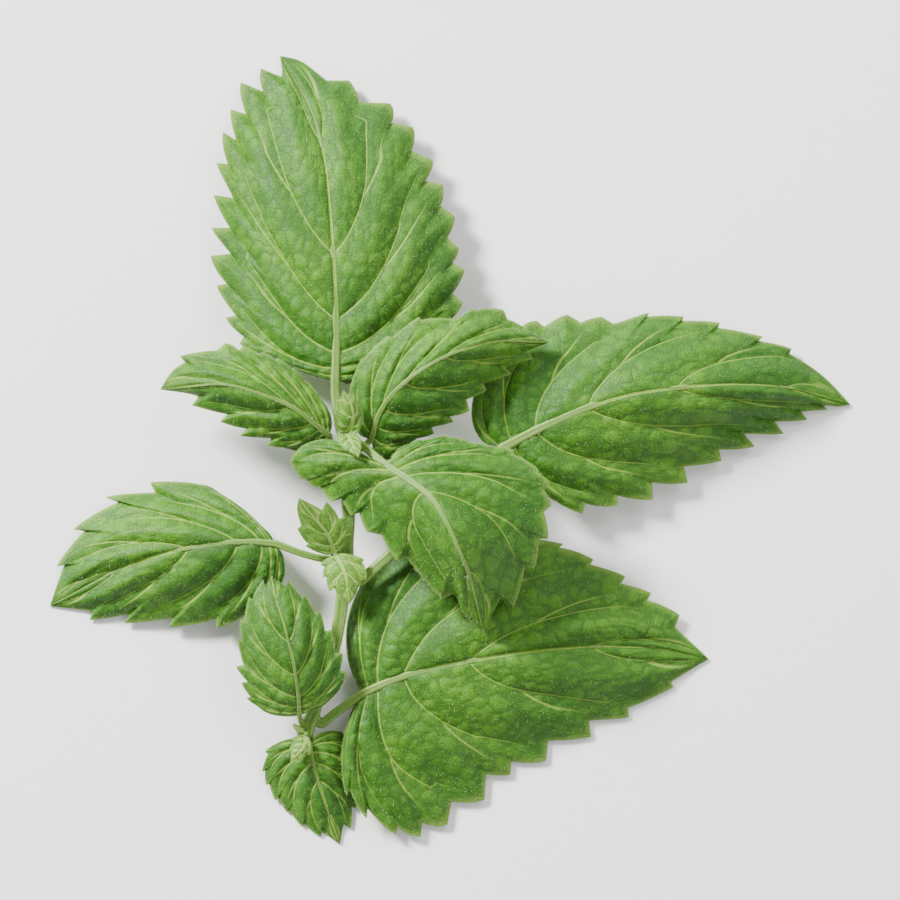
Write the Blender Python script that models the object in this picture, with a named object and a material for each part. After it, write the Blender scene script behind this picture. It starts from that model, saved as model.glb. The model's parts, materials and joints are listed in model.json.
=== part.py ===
"""A cut sprig of lemon balm, lying on a flat surface, at its real size.

The stem lies low along the sprig. At its three nodes it carries nine toothed leaves and three small buds.
The surface is at z = 0, the tip of the sprig points along +Y, and +Z looks up out of the surface.
Guide points and sizes are in millimetres, and are scaled to metres as each mesh is made.
"""

import math

import bpy
import numpy as np

MM = 0.001

# Blades
BLADE = 0.62
STEEPEST = 0.6
ROWS = (0.0, 0.45, 0.82, 1.0)
SMALL_ROWS = (0.0, 0.55, 1.0)
TOOTH = ((0.0, 0.0), (0.45, 0.62), (0.88, 1.0))
VEIN_SPREAD = 0.1
VEIN_BEND = 0.14
VEIN_BEND_FROM = 0.25
CROWN = 0.09
QUILT = 0.3
QUILT_REACH = 12
TEETH_PER_VEIN = 2
TOOTH_TIP = TOOTH[-1][0]
TOOTH_REACH = 6
BASE_LINES = (0.5,)
LAST_LINE = 0.4
LEAF_SHARP = 40

# Stalks. A midrib's rows are its share of the blade, its part of the stalk's radius and how far it is sunk.
STALK_RINGS = 6
STALK_END = 0.9
STALK_BASE_FLARE = 1.15
MIDRIB_THINS = ((0.0, 1.0, 0.0), (0.12, 0.85, 0.6), (0.3, 0.68, 1.0), (0.5, 0.52, 1.0), (0.68, 0.38, 1.0))

# Stem
STEM_HALF = 1.3
STEM_CUT_HALF = 1.42
STEM_CORNER = 0.55
NODE_SWELL = 0.24
NODE_REACH = 2.2
STEM_RINGS = 26
STEM_SHARP = 30

# Buds
KNOB_SIDES = 8
KNOB_RINGS = 5

LEAF_GREEN = (0.30, 0.50, 0.10)
YOUNG_GREEN = (0.40, 0.60, 0.14)
STEM_GREEN = (0.36, 0.52, 0.16)

# The stem's middle line, from its cut end to its tip
STEM_LINE = [
    (-27.7, -69.1, 1.42), (-27.8, -65.9, 1.42), (-27.9, -62.7, 1.42), (-28.5, -59.5, 1.9),
    (-28.9, -56.5, 3.5), (-27.3, -52.5, 4.2), (-25.3, -46.5, 5.0), (-23.3, -39.9, 5.8),
    (-21.8, -31.9, 6.8), (-20.9, -21.5, 8.0), (-20.3, -12.9, 9.7), (-21.0, -1.1, 11.6),
    (-20.9, 2.5, 13.5),
]
STEM_NODES = [(-28.9, -56.5, 3.5), (-20.9, -21.5, 8.0), (-21.0, -1.1, 11.6), (-20.9, 2.5, 13.5)]

# Each leaf has a stalk, a midrib and two margins. Left and right are as seen from its base to its tip.
# A margin runs through the notches between the teeth, and its teeth begin at guide number "start".
# Its tips hold the end of the tooth before each notch, or None where the edge is smooth or hidden.
LEAVES = {
    "leaf_top": {
        "stalk": [(-21.9, 4.4, 12.9), (-22.5, 7.5, 12.4), (-22.8, 10.9, 12.2), (-22.9, 14.1, 12.4)],
        "midrib": [
            (-22.9, 14.1, 12.4), (-22.7, 24.1, 13.2), (-23.1, 36.1, 13.4), (-23.9, 47.1, 12.2),
            (-25.1, 58.1, 9.6), (-27.9, 68.1, 6.0), (-34.1, 79.1, 0.5),
        ],
        "left": [
            (-22.9, 14.1, 12.4), (-25.7, 14.3, 11.8), (-32.1, 16.5, 10.4), (-37.5, 19.1, 8.8),
            (-41.3, 22.7, 7.6), (-42.9, 26.9, 6.8), (-44.7, 33.3, 5.6), (-43.9, 39.3, 5.0),
            (-44.1, 44.5, 4.6), (-43.5, 50.5, 4.4), (-44.5, 57.3, 4.0), (-42.9, 62.1, 3.6),
            (-40.9, 67.3, 3.0), (-37.5, 71.9, 2.2), (-33.9, 74.9, 1.4), (-34.1, 79.1, 0.5),
        ],
        "left_tips": [
            (-42.1, 21.3), (-44.9, 26.5), (-46.7, 32.9), (-47.9, 38.9), (-47.7, 44.5), (-47.3, 51.1),
            (-46.7, 57.5), (-45.5, 63.7), (-43.9, 68.3), (-41.9, 73.7), (-37.9, 76.5),
        ],
        "right": [
            (-22.9, 14.1, 12.4), (-19.9, 13.3, 11.6), (-10.9, 16.5, 10.0), (-4.9, 21.1, 8.4),
            (-1.9, 24.1, 7.6), (-0.3, 25.7, 7.2), (0.5, 31.3, 6.4), (0.5, 37.5, 6.0),
            (-0.5, 42.5, 5.6), (-1.9, 48.9, 5.2), (-4.9, 53.9, 4.8), (-7.7, 59.9, 4.2),
            (-11.7, 65.5, 3.6), (-18.1, 69.7, 3.0), (-24.7, 74.1, 2.2), (-29.7, 77.9, 1.2),
            (-34.1, 79.1, 0.5),
        ],
        "right_tips": [
            None, None, (2.5, 29.5), (2.9, 36.1), (1.7, 40.5), (0.9, 46.9), (-1.5, 53.1), (-3.5, 58.1),
            (-7.5, 64.7), (-12.1, 69.5), (-20.3, 74.1),
        ],
        "start": 3, "rise": 3.4, "stalk_radius": 0.95,
    },
    "leaf_front": {
        "stalk": [(-19.2, 1.9, 14.7), (-17.5, 0.9, 16.4), (-15.1, -1.1, 18.4), (-12.3, -3.3, 20.0)],
        "midrib": [
            (-12.3, -3.3, 20.0), (-7.9, -6.1, 23.4), (-3.5, -9.7, 26.4), (-0.5, -14.7, 27.8),
            (1.7, -19.5, 27.0), (3.5, -23.9, 24.4), (4.9, -28.9, 19.6), (6.7, -36.5, 11.3),
        ],
        "left": [
            (-12.3, -3.3, 20.0), (-11.5, -1.1, 18.9), (-9.9, 0.5, 18.6), (-7.9, 1.3, 18.5),
            (-5.3, 1.9, 18.6), (-0.1, 2.5, 19.0), (3.9, 1.5, 19.3), (7.7, 0.7, 19.6),
            (12.7, -0.9, 19.9), (17.7, -4.7, 20.3), (18.7, -7.9, 20.2), (18.7, -12.3, 19.8),
            (17.7, -17.7, 18.8), (14.9, -23.1, 16.8), (10.1, -29.5, 13.0), (6.7, -36.5, 11.3),
        ],
        "left_tips": [
            (-5.9, 2.1), (-0.5, 2.9), (3.5, 1.9), (7.3, 1.1), (12.3, 0.1), (17.5, -3.7),
            (19.7, -6.9), (20.1, -11.1), (19.5, -17.7), (16.7, -23.7), (12.7, -31.3),
        ],
        "right": [
            (-12.3, -3.3, 20.0), (-16.5, -1.3, 18.4), (-21.5, 1.3, 16.8), (-24.7, 2.1, 15.9),
            (-27.5, 1.7, 15.2), (-30.1, 0.3, 14.4), (-31.5, -2.7, 13.6), (-28.5, -5.9, 13.3),
            (-25.9, -7.3, 13.4), (-21.7, -9.7, 14.0), (-18.1, -12.5, 14.7), (-13.7, -16.9, 15.6),
            (-8.7, -21.3, 16.0), (0.7, -28.7, 14.4), (2.5, -32.3, 12.8), (6.7, -36.5, 11.3),
        ],
        "right_tips": [
            None, None, (-31.9, -2.3), (-29.4, -6.0), (-26.8, -7.5), (-23.7, -10.3), (-19.7, -13.1),
            (-16.5, -16.3), (-10.5, -22.1), (-1.7, -29.7), None,
        ],
        "start": 3, "rise": 3.8, "stalk_radius": 0.8,
    },
    "leaf_upper_left": {
        "stalk": [(-23.8, 0.3, 12.6), (-24.0, 1.5, 13.3), (-24.1, 2.9, 14.2)],
        "midrib": [
            (-24.1, 2.9, 14.2), (-27.1, 5.3, 16.4), (-30.7, 8.1, 18.2), (-35.1, 10.3, 19.2),
            (-40.3, 12.1, 19.2), (-45.5, 13.1, 18.0), (-50.9, 12.9, 15.4), (-57.9, 12.1, 10.6),
        ],
        "left": [
            (-24.1, 2.9, 14.2), (-24.3, 0.5, 12.6), (-26.5, -0.5, 12.1), (-28.9, -0.5, 12.0),
            (-30.5, -0.3, 12.0), (-31.9, 0.1, 12.1), (-33.3, 0.5, 12.3), (-35.7, 2.3, 12.6),
            (-40.7, 4.3, 13.0), (-44.5, 7.1, 13.2), (-50.3, 10.7, 12.6), (-57.9, 12.1, 10.6),
        ],
        "left_tips": [None, None, None, (-36.5, 0.9), (-41.9, 2.9), (-45.9, 5.7), (-51.5, 8.9)],
        "right": [
            (-24.1, 2.9, 14.2), (-23.5, 5.3, 14.6), (-24.3, 8.1, 15.0), (-26.1, 10.7, 15.1),
            (-28.9, 13.7, 15.2), (-31.7, 16.3, 15.4), (-34.9, 18.1, 15.3), (-38.1, 19.1, 15.1),
            (-42.1, 19.9, 14.7), (-46.5, 19.9, 14.0), (-52.9, 17.5, 12.3), (-55.7, 15.5, 11.4),
            (-57.9, 12.1, 10.6),
        ],
        "right_tips": [
            (-28.3, 13.5), (-31.1, 16.3), (-34.3, 18.3), (-37.5, 19.5), (-41.3, 20.7), (-44.9, 21.3),
            (-53.9, 18.7),
        ],
        "start": 3, "rise": 3.0, "stalk_radius": 0.65,
    },
    "leaf_upper_right": {
        "stalk": [(-18.5, -0.1, 12.3), (-17.1, 0.9, 12.9), (-15.7, 2.1, 13.8)],
        "midrib": [
            (-15.7, 2.1, 13.8), (-14.5, 6.3, 16.2), (-12.3, 10.1, 18.4), (-8.7, 13.7, 20.4),
            (-3.5, 17.3, 21.6), (2.9, 20.1, 20.6), (10.1, 21.7, 17.4), (19.9, 21.5, 11.5),
        ],
        "left": [
            (-15.7, 2.1, 13.8), (-18.3, 3.3, 13.6), (-19.7, 7.7, 14.0), (-19.9, 12.5, 14.4),
            (-16.9, 18.5, 15.1), (-11.5, 22.5, 16.0), (-5.7, 25.9, 16.4), (1.1, 26.1, 15.9),
            (5.7, 27.9, 15.1), (11.5, 26.1, 13.5), (15.1, 24.1, 12.5), (19.9, 21.5, 11.5),
        ],
        "left_tips": [
            (-17.5, 18.3), (-12.3, 22.7), (-6.1, 26.5), (0.1, 26.3), (4.7, 28.1), (10.7, 27.9),
            (14.5, 24.7),
        ],
        "right": [
            (-15.7, 2.1, 13.8), (-14.9, -1.1, 12.6), (-11.7, -1.9, 12.4), (-9.1, 0.5, 12.5),
            (-6.5, 2.3, 12.8), (-3.7, 4.5, 13.2), (-0.1, 6.7, 13.6), (3.3, 10.1, 13.8),
            (6.5, 13.3, 13.6), (10.3, 16.7, 13.2), (15.3, 19.7, 12.2), (19.9, 21.5, 11.5),
        ],
        "right_tips": [
            None, (-3.1, 3.3), (0.7, 5.7), (3.9, 7.9), (7.3, 11.9), (12.3, 15.3), (16.5, 18.3),
        ],
        "start": 3, "rise": 2.6, "stalk_radius": 0.65,
    },
    "leaf_left": {
        "stalk": [(-23.3, -21.9, 8.3), (-25.7, -21.7, 8.8), (-29.6, -20.7, 9.4), (-34.9, -18.7, 10.0)],
        "midrib": [
            (-34.9, -18.7, 10.0), (-39.9, -18.3, 10.6), (-46.3, -18.7, 10.6), (-53.7, -19.9, 9.4),
            (-61.1, -21.9, 7.2), (-68.3, -24.9, 4.4), (-74.5, -28.1, 2.2), (-80.3, -31.3, 0.5),
        ],
        "left": [
            (-34.9, -18.7, 10.0), (-33.3, -21.3, 9.0), (-33.1, -25.1, 8.0), (-34.3, -27.5, 7.2),
            (-36.7, -29.9, 6.4), (-39.5, -32.1, 5.4), (-46.9, -33.9, 3.6), (-55.5, -33.7, 2.2),
            (-64.3, -32.9, 1.2), (-71.7, -32.3, 0.7), (-80.3, -31.3, 0.5),
        ],
        "left_tips": [None, None, (-46.7, -35.7), (-56.3, -35.5), (-65.3, -34.7), (-72.3, -34.1)],
        "right": [
            (-34.9, -18.7, 10.0), (-35.9, -16.9, 9.6), (-37.5, -15.3, 8.9), (-40.9, -12.1, 7.4),
            (-45.3, -9.1, 5.6), (-49.9, -6.9, 4.2), (-59.1, -8.5, 2.6), (-66.5, -10.5, 2.0),
            (-73.3, -16.3, 1.4), (-77.3, -23.1, 0.9), (-80.3, -31.3, 0.5),
        ],
        "right_tips": [None, None, (-60.1, -6.5), (-69.1, -9.5), (-75.5, -15.9), (-78.9, -23.4)],
        "start": 3, "rise": 3.4, "stalk_radius": 0.72,
    },
    "leaf_right": {
        "stalk": [
            (-18.2, -26.2, 8.7), (-17.1, -25.5, 9.0), (-15.1, -23.7, 9.5), (-11.5, -20.5, 10.0),
            (-4.3, -13.9, 10.2), (3.3, -6.7, 10.2), (10.7, 0.5, 10.0),
        ],
        "midrib": [
            (10.7, 0.5, 10.0), (18.3, 4.5, 11.4), (26.5, 8.1, 12.6), (35.3, 10.9, 13.0),
            (44.5, 12.3, 12.2), (54.5, 13.1, 10.0), (64.1, 12.9, 6.8), (72.7, 11.5, 3.4),
            (80.3, 9.1, 0.5),
        ],
        "left": [
            (10.7, 0.5, 10.0), (6.5, 1.7, 9.2), (4.3, 6.5, 8.2), (5.3, 13.1, 7.1), (8.5, 19.1, 6.3),
            (14.1, 24.3, 5.7), (18.9, 24.7, 5.4), (26.3, 25.5, 5.2), (32.7, 25.3, 5.0),
            (39.5, 26.7, 4.6), (46.5, 25.9, 4.1), (53.7, 24.5, 3.5), (61.9, 21.9, 2.6),
            (68.1, 19.3, 1.8), (74.5, 15.1, 1.0), (80.3, 9.1, 0.5),
        ],
        "left_tips": [
            None, None, (17.3, 25.9), (23.5, 27.1), (30.3, 26.7), (39.9, 27.5), (46.9, 26.7),
            (54.1, 25.5), (62.7, 22.7), (68.5, 20.3), None,
        ],
        "right": [
            (10.7, 0.5, 10.0), (12.5, -2.7, 9.0), (14.3, -4.3, 8.6), (16.7, -6.7, 8.0),
            (19.3, -9.1, 7.4), (27.1, -10.7, 6.0), (33.5, -9.1, 5.0), (40.5, -6.5, 4.0),
            (46.9, -3.3, 3.0), (53.9, 0.1, 2.2), (58.9, 3.3, 1.6), (65.1, 5.7, 1.2), (70.3, 7.7, 0.9),
            (74.9, 8.9, 0.7), (77.7, 8.7, 0.6), (80.3, 9.1, 0.5),
        ],
        "right_tips": [
            None, (26.5, -12.7), (33.7, -11.1), (40.7, -9.9), (47.7, -6.5), (54.5, -2.1), (61.1, 0.7),
            (66.9, 3.3), (71.7, 6.1), (75.7, 8.1), None,
        ],
        "start": 3, "rise": 2.8, "stalk_radius": 1.1,
    },
    "leaf_lower_right": {
        "stalk": [(-25.6, -54.7, 4.4), (-23.5, -53.1, 5.0), (-20.3, -50.7, 5.8), (-17.5, -48.7, 6.3)],
        "midrib": [
            (-17.5, -48.7, 6.3), (-11.1, -45.9, 7.6), (-3.5, -43.7, 8.6), (4.5, -42.1, 9.0),
            (12.9, -40.7, 8.8), (22.1, -39.7, 7.6), (32.1, -39.3, 5.4), (42.5, -39.9, 2.6),
            (51.9, -41.9, 0.5),
        ],
        "left": [
            (-17.5, -48.7, 6.3), (-19.3, -45.5, 5.0), (-20.7, -40.9, 3.5), (-20.7, -34.9, 3.1),
            (-19.3, -29.9, 3.3), (-16.7, -25.3, 3.8), (-12.3, -21.5, 4.4), (-6.3, -18.9, 5.0),
            (1.1, -17.3, 5.6), (10.1, -17.1, 5.8), (21.9, -19.5, 5.5), (28.1, -22.9, 4.8),
            (34.3, -26.7, 4.0), (39.5, -30.1, 3.0), (45.1, -35.5, 1.6), (51.9, -41.9, 0.5),
        ],
        "left_tips": [
            None, None, None, None, None, None, (22.7, -18.8), (28.7, -21.9), (35.1, -25.3),
            (40.3, -28.7), (46.1, -33.1),
        ],
        "right": [
            (-17.5, -48.7, 6.3), (-19.7, -52.3, 5.9), (-21.3, -57.5, 5.9), (-21.7, -62.9, 6.0),
            (-20.1, -67.9, 5.2), (-16.5, -71.9, 3.9), (-10.5, -75.5, 2.2), (-5.5, -74.7, 1.4),
            (0.3, -70.5, 1.2), (7.3, -65.1, 1.2), (12.3, -62.5, 1.0), (19.7, -58.3, 0.9),
            (27.9, -54.3, 0.8), (35.7, -51.7, 0.7), (44.3, -46.5, 0.6), (51.9, -41.9, 0.5),
        ],
        "right_tips": [
            (-20.7, -69.3), (-16.7, -73.9), (-10.9, -77.1), (-5.9, -77.5), (-0.5, -75.1), (6.9, -70.1),
            (12.1, -65.1), (19.3, -62.3), (28.3, -57.5), (35.9, -53.5), (44.9, -47.5),
        ],
        "start": 3, "rise": 3.6, "stalk_radius": 0.9,
    },
    "leaf_lower_up": {
        "stalk": [(-29.6, -54.7, 6.5), (-29.85, -54.0, 7.4), (-30.1, -53.1, 8.6)],
        "midrib": [
            (-30.1, -53.1, 8.6), (-30.3, -48.9, 12.0), (-30.9, -44.3, 14.4), (-31.9, -39.5, 15.6),
            (-33.3, -34.3, 15.8), (-34.7, -29.9, 15.0), (-35.7, -25.3, 13.0),
        ],
        "left": [
            (-30.1, -53.1, 8.6), (-33.1, -53.3, 8.5), (-36.3, -52.7, 8.6), (-38.7, -51.1, 8.9),
            (-39.9, -49.3, 9.3), (-40.5, -46.3, 10.0), (-41.3, -42.9, 10.5), (-41.5, -38.3, 11.2),
            (-41.1, -34.3, 11.7), (-39.5, -29.9, 12.3), (-36.9, -27.1, 12.8), (-35.7, -25.3, 13.0),
        ],
        "left_tips": [
            (-40.7, -49.5), (-41.7, -46.5), (-42.7, -43.3), (-42.5, -37.5), (-41.9, -33.9),
            (-40.1, -29.3), (-37.3, -25.9),
        ],
        "right": [
            (-30.1, -53.1, 8.6), (-28.1, -52.3, 9.0), (-25.3, -51.1, 9.5), (-23.1, -49.1, 10.0),
            (-21.7, -47.1, 10.5), (-21.9, -44.1, 11.2), (-22.9, -40.7, 11.8), (-24.9, -36.1, 12.4),
            (-26.7, -32.9, 12.8), (-29.5, -29.7, 13.0), (-32.7, -27.3, 13.0), (-35.7, -25.3, 13.0),
        ],
        "right_tips": [
            None, (-20.7, -44.3), (-21.5, -40.5), (-23.7, -35.9), (-26.1, -31.9), (-29.1, -28.7),
            (-32.3, -26.0),
        ],
        "start": 3, "rise": 2.4, "stalk_radius": 0.5,
    },
    "leaf_lower_down": {
        "stalk": [(-28.6, -58.0, 5.3), (-28.4, -58.35, 5.2), (-28.2, -58.7, 5.1)],
        "midrib": [
            (-28.2, -58.7, 5.1), (-27.5, -62.1, 5.5), (-26.5, -65.9, 4.8), (-25.3, -69.9, 3.6),
            (-23.9, -74.1, 2.0), (-22.1, -79.1, 0.4),
        ],
        "left": [
            (-28.2, -58.7, 5.1), (-26.7, -57.1, 5.2), (-24.5, -56.3, 4.2), (-21.9, -56.5, 3.0),
            (-20.3, -57.9, 2.4), (-19.3, -60.3, 1.8), (-18.9, -63.1, 1.4), (-18.7, -65.9, 1.2),
            (-18.9, -68.9, 1.0), (-19.7, -71.5, 0.8), (-21.3, -75.1, 0.6), (-22.1, -79.1, 0.4),
        ],
        "left_tips": [None, None, None, None, None, (-18.9, -72.1), (-19.9, -75.9)],
        "right": [
            (-28.2, -58.7, 5.1), (-29.9, -57.7, 5.3), (-32.5, -57.9, 4.4), (-34.9, -58.9, 3.5),
            (-36.5, -60.9, 2.6), (-37.1, -64.3, 1.6), (-36.3, -66.9, 1.1), (-34.5, -69.7, 0.8),
            (-32.3, -72.3, 0.6), (-29.3, -74.9, 0.5), (-25.7, -76.5, 0.4), (-22.1, -79.1, 0.4),
        ],
        "right_tips": [
            (-37.1, -60.5), (-37.7, -64.5), (-36.8, -67.3), (-35.0, -70.4), (-32.7, -72.7),
            (-29.5, -75.7), (-25.9, -77.7),
        ],
        "start": 3, "rise": 3.4, "stalk_radius": 0.5,
    },
}

# Small leaves have no stalk of their own: each one's root is sunk in its bud's knob.
SMALL_LEAVES = {
    "top_upright": {
        "midrib": [
            (-20.5, 3.3, 15.7), (-19.5, 5.3, 17.8), (-19.3, 7.3, 18.8), (-19.9, 9.5, 19.4),
            (-21.3, 11.9, 19.6),
        ],
        "left": [
            (-20.5, 3.3, 15.7), (-22.1, 3.5, 16.8), (-22.9, 5.1, 17.2), (-22.7, 7.7, 18.0),
            (-21.9, 10.1, 18.8), (-21.3, 11.9, 19.6),
        ],
        "left_tips": [None, (-23.3, 7.3), (-22.5, 9.9)],
        "right": [
            (-20.5, 3.3, 15.7), (-18.7, 3.3, 16.8), (-17.7, 4.9, 17.2), (-17.9, 7.7, 18.0),
            (-19.3, 10.3, 19.0), (-21.3, 11.9, 19.6),
        ],
        "right_tips": [None, (-17.3, 7.3), (-18.7, 10.2)],
        "start": 1, "rise": 1.4,
    },
    "top_bent": {
        "midrib": [(-20.7, 3.3, 15.9), (-20.1, 2.5, 19.2), (-19.3, 0.9, 21.2), (-18.1, -1.5, 21.8)],
        "left": [
            (-20.7, 3.3, 15.9), (-19.1, 3.3, 17.8), (-17.9, 2.3, 19.6), (-17.7, 0.5, 21.1),
            (-18.1, -1.5, 21.8),
        ],
        "left_tips": [None, None],
        "right": [
            (-20.7, 3.3, 15.9), (-22.1, 3.1, 17.6), (-22.5, 2.1, 19.0), (-21.1, 0.3, 20.7),
            (-18.1, -1.5, 21.8),
        ],
        "right_tips": [None, None],
        "start": 1, "rise": 1.4,
    },
    "middle_up": {
        "midrib": [
            (-23.1, -20.7, 11.0), (-23.7, -18.5, 12.4), (-24.9, -16.1, 13.8), (-26.9, -13.7, 15.0),
            (-28.7, -11.5, 16.0), (-30.1, -9.5, 16.6),
        ],
        "left": [
            (-23.1, -20.7, 11.0), (-25.1, -20.9, 11.2), (-28.3, -18.7, 12.2), (-29.7, -15.1, 13.6),
            (-30.5, -11.9, 15.2), (-30.1, -9.5, 16.6),
        ],
        "left_tips": [(-28.9, -19.1), (-30.5, -15.7), None],
        "right": [
            (-23.1, -20.7, 11.0), (-21.3, -19.3, 11.3), (-20.5, -16.5, 12.1), (-22.1, -13.7, 13.2),
            (-25.5, -11.9, 14.8), (-30.1, -9.5, 16.6),
        ],
        "right_tips": [(-19.9, -16.7), (-20.9, -13.3), (-24.7, -10.3)],
        "start": 1, "rise": 1.8,
    },
    "middle_down": {
        "midrib": [
            (-22.9, -21.1, 11.2), (-21.9, -22.7, 12.4), (-20.9, -25.1, 13.2), (-20.5, -27.9, 13.0),
            (-20.1, -30.7, 12.2),
        ],
        "left": [
            (-22.9, -21.1, 11.2), (-20.9, -20.7, 11.4), (-17.5, -22.5, 12.0), (-17.7, -25.9, 12.3),
            (-18.3, -27.5, 12.3), (-19.1, -29.3, 12.3), (-20.1, -30.7, 12.2),
        ],
        "left_tips": [(-17.1, -21.9), (-16.7, -25.7), None, None],
        "right": [
            (-22.9, -21.1, 11.2), (-24.3, -21.5, 11.4), (-25.1, -23.3, 11.8), (-24.7, -25.3, 12.1),
            (-23.1, -27.5, 12.4), (-20.9, -29.7, 12.3), (-20.1, -30.7, 12.2),
        ],
        "right_tips": [(-25.9, -22.9), (-25.3, -25.5), (-24.1, -28.3), (-21.5, -30.3)],
        "start": 1, "rise": 1.8,
    },
    "bottom_point": {
        "midrib": [(-28.9, -56.7, 6.2), (-30.1, -55.8, 7.0), (-31.5, -54.7, 7.6)],
        "left": [(-28.9, -56.7, 6.2), (-30.3, -56.6, 6.8), (-31.2, -55.7, 7.3), (-31.5, -54.7, 7.6)],
        "left_tips": [None],
        "right": [(-28.9, -56.7, 6.2), (-29.3, -55.8, 6.7), (-30.5, -55.0, 7.2), (-31.5, -54.7, 7.6)],
        "right_tips": [None],
        "start": 1, "rise": 1.4,
    },
    "bottom_toothed": {
        "midrib": [(-28.9, -57.1, 6.2), (-29.1, -58.7, 7.6), (-30.1, -60.3, 8.2), (-31.9, -62.3, 8.2)],
        "left": [
            (-28.9, -57.1, 6.2), (-27.9, -58.3, 6.9), (-28.7, -60.5, 7.5), (-30.7, -61.7, 8.0),
            (-31.9, -62.3, 8.2),
        ],
        "left_tips": [(-28.1, -61.1), (-29.9, -62.1)],
        "right": [
            (-28.9, -57.1, 6.2), (-30.1, -57.1, 6.8), (-31.3, -58.7, 7.2), (-31.7, -60.3, 7.8),
            (-31.9, -62.3, 8.2),
        ],
        "right_tips": [(-31.5, -57.7), (-32.1, -59.9)],
        "start": 1, "rise": 1.4,
    },
}

# Each bud is a knob, seen as centre and radius, with its small leaves sunk in it.
BUDS = {
    "bud_top": {"knob": ((-20.9, 3.3, 15.5), 0.85), "leaves": ("top_upright", "top_bent")},
    "shoot_middle": {"knob": ((-22.9, -20.9, 10.4), 0.9), "leaves": ("middle_up", "middle_down")},
    "bud_bottom": {"knob": ((-28.8, -56.9, 6.0), 0.65), "leaves": ("bottom_point", "bottom_toothed")},
}


class Run:
    """A smooth curve through guide points, read at a share of its length."""

    STEPS = 16

    def __init__(self, guides):
        points = np.array(guides, float)
        before = 2 * points[0] - points[1]
        after = 2 * points[-1] - points[-2]
        ends = np.vstack([before, points, after])
        dense = []
        for a, b, c, d in zip(ends, ends[1:], ends[2:], ends[3:]):
            for t in np.linspace(0, 1, self.STEPS, endpoint=False):
                bend = (c - a) * t + (2 * a - 5 * b + 4 * c - d) * t**2 + (3 * b - a - 3 * c + d) * t**3
                dense.append(b + bend / 2)
        dense.append(points[-1])
        self.points = np.array(dense)
        lengths = np.linalg.norm(np.diff(self.points, axis=0), axis=1)
        self.length = lengths.sum()
        self.shares = np.concatenate([[0], np.cumsum(lengths)]) / self.length

    def at(self, share):
        return np.array([np.interp(share, self.shares, axis) for axis in self.points.T])

    def share_of(self, guide):
        return self.shares[guide * self.STEPS]

    def along(self, share):
        step = self.at(min(share + 0.01, 1)) - self.at(max(share - 0.01, 0))
        return step / np.linalg.norm(step)


def material(name, colour, roughness):
    made = bpy.data.materials.new(name)
    made.use_nodes = True
    shader = made.node_tree.nodes["Principled BSDF"]
    shader.inputs["Base Color"].default_value = (*colour, 1)
    shader.inputs["Roughness"].default_value = roughness
    return made


def mesh_object(name, points, faces):
    mesh = bpy.data.meshes.new(name)
    mesh.from_pydata([tuple(point * MM) for point in points], [], faces)
    made = bpy.data.objects.new(name, mesh)
    bpy.context.scene.collection.objects.link(made)
    return made


def evaluated_mesh(made):
    bpy.context.view_layer.update()
    graph = bpy.context.evaluated_depsgraph_get()
    return bpy.data.meshes.new_from_object(made.evaluated_get(graph))


def apply_modifiers(made):
    mesh = evaluated_mesh(made)
    made.modifiers.clear()
    made.data = mesh


def line_ends(leaf, side):
    """Where each line from the midrib meets one margin: its share of the margin and its cut to the tooth."""
    margin = Run(leaf[side])
    tips = leaf[side + "_tips"]
    smooth = np.zeros(3)
    notches = [margin.share_of(leaf["start"] + tooth) for tooth in range(len(tips) + 1)]
    ends = [(notches[0] * part, smooth) for part in BASE_LINES]
    for tip, here, there in zip(tips, notches, notches[1:]):
        foot = margin.at(here + (there - here) * TOOTH_TIP)
        cut = smooth if tip is None else np.array([*tip, foot[2]]) - foot
        ends += [(here + (there - here) * part, cut * reach) for part, reach in TOOTH]
    ends.append((notches[-1], smooth))
    ends.append((notches[-1] + (1 - notches[-1]) * LAST_LINE, smooth))
    return margin, ends


def quilting(leaf):
    """How far the blade swells along each line, between -1 on a side vein and 1 midway to the next."""
    steps = [tooth + part - TOOTH_TIP for tooth in range(len(leaf["left_tips"])) for part, _ in TOOTH]
    swells = [-math.cos(2 * math.pi * step / TEETH_PER_VEIN) for step in steps]
    return [0.0] * len(BASE_LINES) + swells + [0.0, 0.0]


def plan_area(points, face):
    """Twice the area of a triangle as seen from above, positive when it turns left."""
    a, b, c = (points[corner] for corner in face)
    return (b[0] - a[0]) * (c[1] - a[1]) - (b[1] - a[1]) * (c[0] - a[0])


def split_in_plan(points, quad, side):
    """The two triangles of a quad, cut along the diagonal that leaves the fuller smaller triangle."""
    a, b, c, d = quad
    turn = 1 if side == "left" else -1
    cuts = [[(a, b, c), (a, c, d)], [(a, b, d), (b, c, d)]]
    return max(cuts, key=lambda cut: min(turn * plan_area(points, face) for face in cut))


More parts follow.
